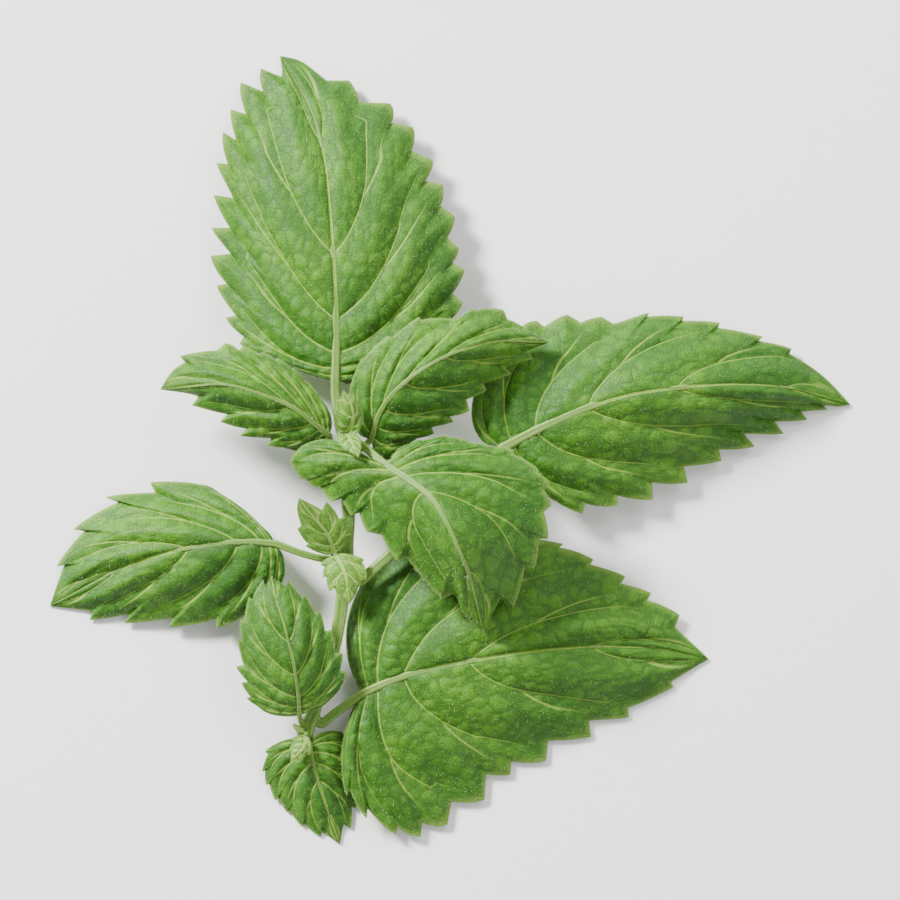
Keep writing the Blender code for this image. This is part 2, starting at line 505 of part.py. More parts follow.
def blade_sheet(leaf, rows):
    """The middle sheet of a blade, as points and triangles, with its teeth and the swell between veins."""
    midrib = Run(leaf["midrib"])
    points = [midrib.at(0), midrib.at(1)]
    columns = {"left": [], "right": []}
    margins = {side: line_ends(leaf, side) for side in columns}
    for line, quilt in enumerate(quilting(leaf)):
        share = sum(ends[line][0] for _, ends in margins.values()) / len(margins)
        root_share = VEIN_SPREAD * share + (1 - VEIN_SPREAD) * share ** leaf["rise"]
        root = midrib.at(root_share)
        forward = midrib.along(root_share)
        points.append(root)
        root_index = len(points) - 1
        for side, (margin, ends) in margins.items():
            end_share, cut = ends[line]
            end = margin.at(end_share)
            reach = np.linalg.norm(end - root)
            bend = VEIN_BEND * reach * min(share / VEIN_BEND_FROM, 1) ** 2
            middle = (root + end) / 2 - forward * bend
            column = [root_index]
            for row in rows[1:]:
                point = root * (1 - row) ** 2 + 2 * middle * row * (1 - row) + end * row**2
                point += cut * row**TOOTH_REACH
                swell = 4 * row * (1 - row)
                point[2] += swell * (CROWN * reach + QUILT * quilt * min(reach / QUILT_REACH, 1))
                points.append(point)
                column.append(len(points) - 1)
            columns[side].append(column)
    faces = []
    for side, lines in columns.items():
        half = [(0, inner, outer) for inner, outer in zip(lines[0], lines[0][1:])]
        for here, there in zip(lines, lines[1:]):
            for i in range(len(rows) - 1):
                half += split_in_plan(points, (here[i], there[i], there[i + 1], here[i + 1]), side)
        half += [(inner, 1, outer) for inner, outer in zip(lines[-1], lines[-1][1:])]
        faces += half if side == "left" else [face[::-1] for face in half]
    return np.array(points), faces


def blade(name, leaf, rows):
    """The closed solid of one blade: its sheet, thickened alike above and below."""
    sheet, faces = blade_sheet(leaf, rows)
    corners = sheet[np.array(faces)]
    normals = np.cross(corners[:, 1] - corners[:, 0], corners[:, 2] - corners[:, 0])
    upright = np.zeros((len(sheet), 3))
    for corner in range(3):
        np.add.at(upright, np.array(faces)[:, corner], normals)
    slope = upright[:, 2] / np.linalg.norm(upright, axis=1)
    half = BLADE / 2 / np.clip(slope, STEEPEST, 1)
    under = np.maximum(sheet[:, 2] - half, 0)
    top = np.column_stack([sheet[:, :2], under + 2 * half])
    bottom = np.column_stack([sheet[:, :2], under])
    count = len(sheet)
    solid = faces + [tuple(count + corner for corner in reversed(face)) for face in faces]
    edges = {(a, b) for face in faces for a, b in zip(face, face[1:] + face[:1])}
    solid += [(b, a, count + a, count + b) for a, b in sorted(edges) if (b, a) not in edges]
    return mesh_object(name, np.vstack([top, bottom]), solid)


def stalk(name, leaf):
    """The stalk, which runs on under the blade as its midrib and thins out towards the tip."""
    stalk_run = Run(leaf["stalk"])
    midrib = Run(leaf["midrib"])
    thick = leaf["stalk_radius"]
    stations = [(stalk_run.at(share), thick, 0.0) for share in np.linspace(0, STALK_END, STALK_RINGS)]
    stations[0] = (stations[0][0], thick * STALK_BASE_FLARE, 0.0)
    for share, thin, sunk in MIDRIB_THINS:
        stations.append((midrib.at(share), thick * thin, sunk))
    curve = bpy.data.curves.new(name, "CURVE")
    curve.dimensions = "3D"
    curve.bevel_depth = MM
    curve.bevel_resolution = 1
    curve.use_fill_caps = True
    line = curve.splines.new("POLY")
    line.points.add(len(stations) - 1)
    for point, (place, radius, sunk) in zip(line.points, stations):
        point.co = (*((place - (0, 0, radius * sunk)) * MM), 1)
        point.radius = radius
    guide = bpy.data.objects.new(name, curve)
    bpy.context.scene.collection.objects.link(guide)
    mesh = evaluated_mesh(guide)
    bpy.data.objects.remove(guide)
    made = bpy.data.objects.new(name, mesh)
    bpy.context.scene.collection.objects.link(made)
    return made


def knob(name, centre, radius):
    """A bud's knob: a ball drawn out a little, with few sides."""
    points = [np.array(centre) - (0, 0, radius)]
    for ring in range(1, KNOB_RINGS):
        tilt = math.pi * ring / KNOB_RINGS
        for side in range(KNOB_SIDES):
            turn = 2 * math.pi * side / KNOB_SIDES
            out = radius * math.sin(tilt)
            rise = -radius * math.cos(tilt)
            points.append(np.array(centre) + (out * math.cos(turn), out * math.sin(turn), rise))
    points.append(np.array(centre) + (0, 0, radius))
    faces = []
    top = len(points) - 1
    for side in range(KNOB_SIDES):
        beside = (side + 1) % KNOB_SIDES
        faces.append((0, 1 + beside, 1 + side))
        for ring in range(KNOB_RINGS - 2):
            low = 1 + ring * KNOB_SIDES
            high = low + KNOB_SIDES
            faces.append((low + side, low + beside, high + beside, high + side))
        last = 1 + (KNOB_RINGS - 2) * KNOB_SIDES
        faces.append((last + side, last + beside, top))
    return mesh_object(name, points, faces)


def fuse(name, solids, finish):
    """Joins solids into one closed solid under one name."""
    first = solids[0]
    rest = bpy.data.collections.new(name + "_joined")
    bpy.context.scene.collection.children.link(rest)
    for solid in solids[1:]:
        rest.objects.link(solid)
        bpy.context.scene.collection.objects.unlink(solid)
    union = first.modifiers.new("join", "BOOLEAN")
    union.operation = "UNION"
    union.operand_type = "COLLECTION"
    union.collection = rest
    union.solver = "EXACT"
    apply_modifiers(first)
    for solid in solids[1:]:
        bpy.data.objects.remove(solid)
    bpy.data.collections.remove(rest)
    first.name = name
    first.data.name = name
    first.data.materials.clear()
    first.data.materials.append(finish)
    first.data.shade_smooth()
    first.data.set_sharp_from_angle(angle=math.radians(LEAF_SHARP))


def stem(finish):
    """The square stem with its corners cut, thicker at the nodes, and level where it is cut."""
    run = Run(STEM_LINE)
    level = np.linalg.norm(np.subtract(STEM_LINE[1], STEM_LINE[0])) / run.length
    shares = [0.0, *np.linspace(level, 1, STEM_RINGS)]
    corner = [(1, STEM_CORNER), (STEM_CORNER, 1), (-STEM_CORNER, 1), (-1, STEM_CORNER)]
    outline = corner + [(-x, -y) for x, y in corner]
    points = []
    for share in shares:
        centre = run.at(share)
        forward = run.along(share)
        if share <= level:
            forward = np.subtract(STEM_LINE[1], STEM_LINE[0])
            forward /= np.linalg.norm(forward)
        across = np.cross(forward, (0, 0, 1))
        across /= np.linalg.norm(across)
        up = np.cross(across, forward)
        near = min(np.linalg.norm(centre - node) for node in np.array(STEM_NODES))
        half = STEM_HALF * (1 + NODE_SWELL * math.exp(-((near / NODE_REACH) ** 2)))
        half = STEM_CUT_HALF if share <= level else half
        points += [centre + half * (x * across + y * up) for x, y in outline]
    count = len(outline)
    faces = [tuple(range(count))]
    for ring in range(len(shares) - 1):
        for side in range(count):
            beside = (side + 1) % count
            low = ring * count
            faces.append((low + side, low + count + side, low + count + beside, low + beside))
    faces.append(tuple(reversed(range(len(points) - count, len(points)))))
    made = mesh_object("stem", points, faces)
    made.data.materials.append(finish)
    made.data.shade_smooth()
    made.data.set_sharp_from_angle(angle=math.radians(STEM_SHARP))


def main():
    for old in list(bpy.data.objects):
        bpy.data.objects.remove(old)
    leaf_finish = material("leaf_green", LEAF_GREEN, 0.55)
    young_finish = material("young_green", YOUNG_GREEN, 0.55)
    stem(material("stem_green", STEM_GREEN, 0.5))
    for name, leaf in LEAVES.items():
        fuse(name, [blade(name + "_blade", leaf, ROWS), stalk(name + "_stalk", leaf)], leaf_finish)
    for name, bud in BUDS.items():
        solids = [knob(name + "_knob", *bud["knob"])]
        solids += [blade(small, SMALL_LEAVES[small], SMALL_ROWS) for small in bud["leaves"]]
        fuse(name, solids, young_finish)


main()
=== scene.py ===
"""The looks of a cut sprig of lemon balm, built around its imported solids.

The solids give each piece its place and its box. Guide points repeat the solids' own, in millimetres.
"""

import json
import math

import bpy
import numpy as np
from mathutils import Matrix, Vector, noise

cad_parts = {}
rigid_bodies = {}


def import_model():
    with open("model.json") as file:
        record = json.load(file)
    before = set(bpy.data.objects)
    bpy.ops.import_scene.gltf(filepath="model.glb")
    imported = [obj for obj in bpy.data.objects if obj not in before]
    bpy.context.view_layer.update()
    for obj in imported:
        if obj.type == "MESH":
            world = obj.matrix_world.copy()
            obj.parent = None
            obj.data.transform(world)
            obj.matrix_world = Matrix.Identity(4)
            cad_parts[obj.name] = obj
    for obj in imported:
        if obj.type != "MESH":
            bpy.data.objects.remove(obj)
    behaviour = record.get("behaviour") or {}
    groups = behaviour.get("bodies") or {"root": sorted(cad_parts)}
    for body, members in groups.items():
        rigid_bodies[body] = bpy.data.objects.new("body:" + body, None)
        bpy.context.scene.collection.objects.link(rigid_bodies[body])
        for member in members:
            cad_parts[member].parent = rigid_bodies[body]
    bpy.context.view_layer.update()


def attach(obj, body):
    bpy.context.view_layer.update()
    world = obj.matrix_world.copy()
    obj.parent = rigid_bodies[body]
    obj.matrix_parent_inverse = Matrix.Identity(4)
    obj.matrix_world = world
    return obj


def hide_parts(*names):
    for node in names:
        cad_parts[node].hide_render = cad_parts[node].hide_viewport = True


for old in list(bpy.data.objects):
    bpy.data.objects.remove(old)

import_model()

# The stem is one square green shoot with a shallow groove down each side, thicker at its leaf nodes.
# It is fresh and a little woody at its cut end, where the paler pith shows.
# It lies on the surface by its cut end and rises towards the tip.

MM = 0.001
STEM_HALF = 1.3
STEM_CUT_HALF = 1.42
NODE_SWELL = 0.24
NODE_REACH = 2.2
STEM_RINGS = 200
STEM_SIDES = 40
STEM_CORNERS = 4
STEM_SQUARENESS = 4.5
STEM_GROOVE = 0.09
GROOVE_NARROWS = 3
STEM_EDGE_ROUND = 0.1
EDGE_ROUND_STEPS = 3
SHARP_EDGE = 50
LOOK_AHEAD = 0.01
STEM_LINE = [
    (-27.7, -69.1, 1.42), (-27.8, -65.9, 1.42), (-27.9, -62.7, 1.42), (-28.5, -59.5, 1.9),
    (-28.9, -56.5, 3.5), (-27.3, -52.5, 4.2), (-25.3, -46.5, 5.0), (-23.3, -39.9, 5.8),
    (-21.8, -31.9, 6.8), (-20.9, -21.5, 8.0), (-20.3, -12.9, 9.7), (-21.0, -1.1, 11.6),
    (-20.9, 2.5, 13.5),
]
STEM_NODES = [(-28.9, -56.5, 3.5), (-20.9, -21.5, 8.0), (-21.0, -1.1, 11.6), (-20.9, 2.5, 13.5)]


class Run:
    """A smooth curve through guide points, read at shares of its length."""

    STEPS = 16

    def __init__(self, guides):
        points = np.array(guides, float)
        ends = np.vstack([2 * points[0] - points[1], points, 2 * points[-1] - points[-2]])
        dense = []
        for a, b, c, d in zip(ends, ends[1:], ends[2:], ends[3:]):
            for t in np.linspace(0, 1, self.STEPS, endpoint=False):
                bend = (c - a) * t + (2 * a - 5 * b + 4 * c - d) * t**2 + (3 * b - a - 3 * c + d) * t**3
                dense.append(b + bend / 2)
        dense.append(points[-1])
        self.points = np.array(dense)
        lengths = np.linalg.norm(np.diff(self.points, axis=0), axis=1)
        self.length = lengths.sum()
        self.shares = np.concatenate([[0], np.cumsum(lengths)]) / self.length

    def at(self, shares):
        return np.stack([np.interp(shares, self.shares, axis) for axis in self.points.T], axis=-1)

    def share_of(self, guide):
        return self.shares[guide * self.STEPS]

    def along(self, shares):
        ahead = self.at(np.minimum(np.add(shares, LOOK_AHEAD), 1))
        behind = self.at(np.maximum(np.subtract(shares, LOOK_AHEAD), 0))
        step = ahead - behind
        return step / np.linalg.norm(step, axis=-1, keepdims=True)


class Field:
    """A node's output that the signs of arithmetic work on."""

    def __init__(self, nodes, socket):
        self.nodes = nodes
        self.socket = socket

    def other(self, output):
        """Another output of the same node."""
        return Field(self.nodes, self.socket.node.outputs[output])

    def maths(self, operation, first, second):
        return self.nodes.node("ShaderNodeMath", {"operation": operation}, {0: first, 1: second})

    def __add__(self, other):
        return self.maths("ADD", self, other)

    def __sub__(self, other):
        return self.maths("SUBTRACT", self, other)

    def __rsub__(self, other):
        return self.maths("SUBTRACT", other, self)

    def __mul__(self, other):
        return self.maths("MULTIPLY", self, other)

    def __truediv__(self, other):
        return self.maths("DIVIDE", self, other)

    def __gt__(self, other):
        return self.maths("GREATER_THAN", self, other)

    __radd__ = __add__
    __rmul__ = __mul__

    def size(self):
        return self.maths("ABSOLUTE", self, 0.0)

    def fraction(self):
        return self.maths("FRACT", self, 0.0)

    def larger(self, other):
        return self.maths("MAXIMUM", self, other)


class Nodes:
    """A node tree in the making. Its node() adds any node, with its settings and then its sockets."""

    def __init__(self, tree):
        self.tree = tree

    def node(self, kind, settings, sockets, output=0):
        made = self.tree.nodes.new(kind)
        for name, value in settings.items():
            setattr(made, name, value)
        for name, value in sockets.items():
            self.feed(made.inputs[name], value)
        return Field(self, made.outputs[output]) if made.outputs else None

    def feed(self, socket, value):
        if isinstance(value, Field):
            self.tree.links.new(value.socket, socket)
        else:
            socket.default_value = value


class Finish(Nodes):
    """A material in the making."""

    def __init__(self, name):
        self.material = bpy.data.materials.new(name)
        self.material.use_nodes = True
        super().__init__(self.material.node_tree)
        self.shader = self.tree.nodes["Principled BSDF"]

    def set(self, **sockets):
        for name, value in sockets.items():
            self.feed(self.shader.inputs[name.replace("_", " ")], value)

    def reading(self, name):
        """A number that the mesh carries at each of its points."""
        return self.node("ShaderNodeAttribute", {"attribute_name": name}, {}, "Fac")

    def fade(self, value, near, far):
        """1 where the value is at or under near, easing to 0 at far."""
        settings = {"interpolation_type": "SMOOTHSTEP"}
        sockets = {"Value": value, "From Min": near, "From Max": far, "To Min": 1.0, "To Max": 0.0}
        return self.node("ShaderNodeMapRange", settings, sockets)

    def mix(self, factor, first, second):
        """Two colours mixed. A colour is a (red, green, blue) or a Field."""
        pair = [one if isinstance(one, Field) else (*one, 1) for one in (first, second)]
        sockets = {0: factor, 6: pair[0], 7: pair[1]}
        return self.node("ShaderNodeMix", {"data_type": "RGBA"}, sockets, 2)

    def layered(self, colour, layers):
        """A colour with others laid over it, each with its mask and its strength."""
        for mask, strength, over in layers:
            colour = self.mix(mask * strength, colour, over)
        return colour

    def place(self, stretch=(1, 1, 1)):
        """Object coordinates in millimetres, stretched."""
        where = self.node("ShaderNodeTexCoord", {}, {}, "Object")
        scale = [part / MM for part in stretch]
        return self.node("ShaderNodeVectorMath", {"operation": "MULTIPLY"}, {0: where, 1: scale})

    def mottle(self, vector, scale, detail=3.0, output="Fac"):
        """Soft noise between 0 and 1, with its scale in bumps for each unit of the vector."""
        sockets = {"Vector": vector, "Scale": scale, "Detail": detail}
        return self.node("ShaderNodeTexNoise", {}, sockets, output)

    def relief(self, height, depth):
        """Feeds a bump to the shader's normal. Depth is in millimetres."""
        self.set(Normal=self.node("ShaderNodeBump", {}, {"Height": height, "Distance": depth * MM}))


def placed(name, data):
    """A new object of the scene, at the origin."""
    made = bpy.data.objects.new(name, data)
    bpy.context.scene.collection.objects.link(made)
    return made


def plain_mesh(name, points, faces, readings):
    """A piece with its place in its mesh, and with a number at each point for each reading."""
    mesh = bpy.data.meshes.new(name)
    mesh.from_pydata((np.asarray(points) * MM).tolist(), [], faces)
    for reading, values in readings.items():
        layer = mesh.attributes.new(reading, "FLOAT", "POINT")
        layer.data.foreach_set("value", np.asarray(values, np.float32))
    mesh.shade_smooth()
    mesh.set_sharp_from_angle(angle=math.radians(SHARP_EDGE))
    return placed(name, mesh)


def swept(name, centres, forward, outlines):
    """A closed tube. outlines holds, for each ring, its points across and up from the ring's centre."""
    across = np.cross(forward, (0, 0, 1))
    across /= np.linalg.norm(across, axis=1, keepdims=True)
    up = np.cross(across, forward)
    rings = centres[:, None] + outlines[..., :1] * across[:, None] + outlines[..., 1:] * up[:, None]
    count, sides = outlines.shape[:2]
    points = [*rings.reshape(-1, 3), centres[0], centres[-1]]
    faces = []
    for ring in range(count - 1):
        low = ring * sides
        for side in range(sides):
            beside = (side + 1) % sides
            faces.append((low + side, low + sides + side, low + sides + beside, low + beside))
    last = (count - 1) * sides
    for side in range(sides):
        beside = (side + 1) % sides
        faces.append((side, beside, count * sides))
        faces.append((last + beside, last + side, count * sides + 1))
    steps = np.linalg.norm(np.diff(centres, axis=0), axis=1)
    along = np.concatenate([[0], np.cumsum(steps)])
    turn = np.linspace(0, 1, sides, endpoint=False)
    readings = {
        "along": [*np.repeat(along, sides), 0, along[-1]],
        "turn": [*np.tile(turn, count), 0, 0],
    }
    return plain_mesh(name, points, faces, readings)


stem_run = Run(STEM_LINE)
level = np.linalg.norm(np.subtract(STEM_LINE[1], STEM_LINE[0])) / stem_run.length
inset = STEM_EDGE_ROUND / stem_run.length
cut_shares = [0, inset / EDGE_ROUND_STEPS, inset]
stem_shares = np.concatenate([cut_shares, np.linspace(2 * inset, 1, STEM_RINGS)])
stem_centres = stem_run.at(stem_shares)
stem_forward = stem_run.along(stem_shares)
lying = stem_shares <= level
stem_forward[lying] = np.subtract(STEM_LINE[1], STEM_LINE[0])
stem_forward /= np.linalg.norm(stem_forward, axis=1, keepdims=True)
to_nodes = np.linalg.norm(stem_centres[:, None] - np.array(STEM_NODES), axis=2).min(axis=1)
half = STEM_HALF * (1 + NODE_SWELL * np.exp(-((to_nodes / NODE_REACH) ** 2)))
half[lying] = STEM_CUT_HALF
half[0] -= STEM_EDGE_ROUND
half[1] -= STEM_EDGE_ROUND / EDGE_ROUND_STEPS
turns = np.linspace(0, 2 * math.pi, STEM_SIDES, endpoint=False)
circle = np.column_stack([np.cos(turns), np.sin(turns)])
square = (np.abs(circle) ** STEM_SQUARENESS).sum(axis=1) ** (-1 / STEM_SQUARENESS)
square *= 1 - STEM_GROOVE * (0.5 + 0.5 * np.cos(STEM_CORNERS * turns)) ** GROOVE_NARROWS
stem_outline = square[:, None] * circle
stem = swept("stem_shoot", stem_centres, stem_forward, half[:, None, None] * stem_outline[None])


STEM_GREENS = ((0.05, 0.15, 0.008), (0.12, 0.26, 0.02))
STEM_PATCH = (0.15, 0.22, 0.03)
STEM_CORNER = (0.21, 0.34, 0.06)
PITH = (0.40, 0.46, 0.20)
PATCH_FADES = (0.35, 0.6)
CORNER_FADES = (0.2, 0.5)
CUT_FADES = (0.01, 0.06)
STREAKS_ROUND = 26.0
STREAKS_ALONG = 0.12
STEM_PATCH_SCALE = 0.16
GRAIN_SCALE = 2.5
STREAK_DEPTH = 0.12


def stem_finish():
    """Fresh green skin with fine streaks along it, paler on the corners, and pale pith at the cut."""
    finish = Finish("stem_skin")
    along = finish.reading("along")
    turn = finish.reading("turn")
    drawn_out = {0: turn * STREAKS_ROUND, 1: along * STREAKS_ALONG}
    streaks = finish.mottle(finish.node("ShaderNodeCombineXYZ", {}, drawn_out), 1.0)
    patches = finish.mottle(finish.place(), STEM_PATCH_SCALE)
    grains = finish.mottle(finish.place(), GRAIN_SCALE)
    from_corner = ((turn * STEM_CORNERS + 0.5).fraction() - 0.5).size()
    flat = finish.fade(from_corner, *CORNER_FADES)
    layers = (
        (finish.fade(patches, *PATCH_FADES), 0.5, STEM_PATCH),
        (1 - flat, 0.6, STEM_CORNER),
        (finish.fade(along, *CUT_FADES), 1.0, PITH),
    )
    skin = finish.layered(finish.mix(streaks, *STEM_GREENS), layers)
    finish.set(Base_Color=skin, Roughness=0.42 + grains * 0.2)
    finish.relief(streaks + grains * 0.3, STREAK_DEPTH)
    return finish.material


stem_skin = stem_finish()
stem.data.materials.append(stem_skin)
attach(stem, "root")
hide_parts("stem")

# A leaf is one thin blade, wrinkled between sunken veins and cut into teeth, on a channelled stalk.
# Its stalk grows from the stem and runs on under the blade as the midrib. The blade is matt and hairy.
# The nine big leaves leave the stem in pairs, and the widest touch the surface by tips and margins.

BLADE_THICKNESS = 0.36
EDGE_THINNING = 0.55
EDGE_CLOSE = 10
STEEPEST = 0.6
BACK_PARTS = (0.0, 0.14, 0.28, 0.42, 0.55, 0.66, 0.75, 0.82, 0.86)
FRONT_PARTS = (0.88, 0.905, 0.935, 0.965)
TOOTH_TIP = FRONT_PARTS[0]
BACK_SWELL = 1.35
TOOTH_REACH = 6
BASE_COLUMNS = 12
BASE_PARTS = np.linspace(0.12, 0.92, BASE_COLUMNS)
TIP_COLUMNS = 8
TIP_PARTS = np.linspace(0, 0.94, TIP_COLUMNS)
ROW_SPACING = 0.5
LEAST_ROWS = 10
SPINE_POINTS = 160
TINY = 1e-9
SIDE_VEINS = 4.5
VEIN_SPREAD = 0.1
VEIN_BEND = 0.14
VEIN_BEND_FROM = 0.25
VEIN_CLIMB = 1.0
VEIN_FADES = (0.7, 0.95)
TIP_FADES = (0.84, 0.97)
FORK_FROM = 0.45
FORK_ENDS = 0.5
FORK_SLANT = 0.75
NO_FORK = 9.0
CROWN = 0.09
QUILT = 0.5
QUILT_REACH = 12
QUILT_PITCH = 6
NET_CELL = 0.9
EASES_OUT = 4
PUCKER_CELL = 2.6
SMALLEST_CELL = 0.6
PUCKER_STEEP = 1.6
PUCKER_HEIGHT = 0.32
PUCKER_CLEAR = 1.5
PUCKER_CALM = 0.6
MIDRIB_EASE = 0.6
END_PITCH = 0.5
FRINGE_CLOSE = 30

# Each groove: how deep it is, and how soft, both in millimetres.
VEIN_GROOVE = (0.38, 0.8)
FORK_GROOVE = (0.16, 0.5)
MIDRIB_GROOVE = (0.4, 0.8)

# On a stalk the groove is a share of its thickness deep, and its softness is an angle.
STALK_GROOVE = (0.3, 0.5)
STALK_SIDES = 20
STALK_STEP = 0.35
LEAST_RINGS = 8
STALK_SUNK = 0.45
STALK_FLARE = 0.3
FLARE_REACH = 1.2

# Down the midrib: share of its length, share of the stalk's thickness, and how far that is sunk.
MIDRIB_THINS = (
    (0.0, 1.0, 0.0),
    (0.12, 0.85, 0.6),
    (0.3, 0.68, 1.0),
    (0.5, 0.52, 1.0),
    (0.68, 0.38, 1.0),
    (0.93, 0.12, 1.0),
)

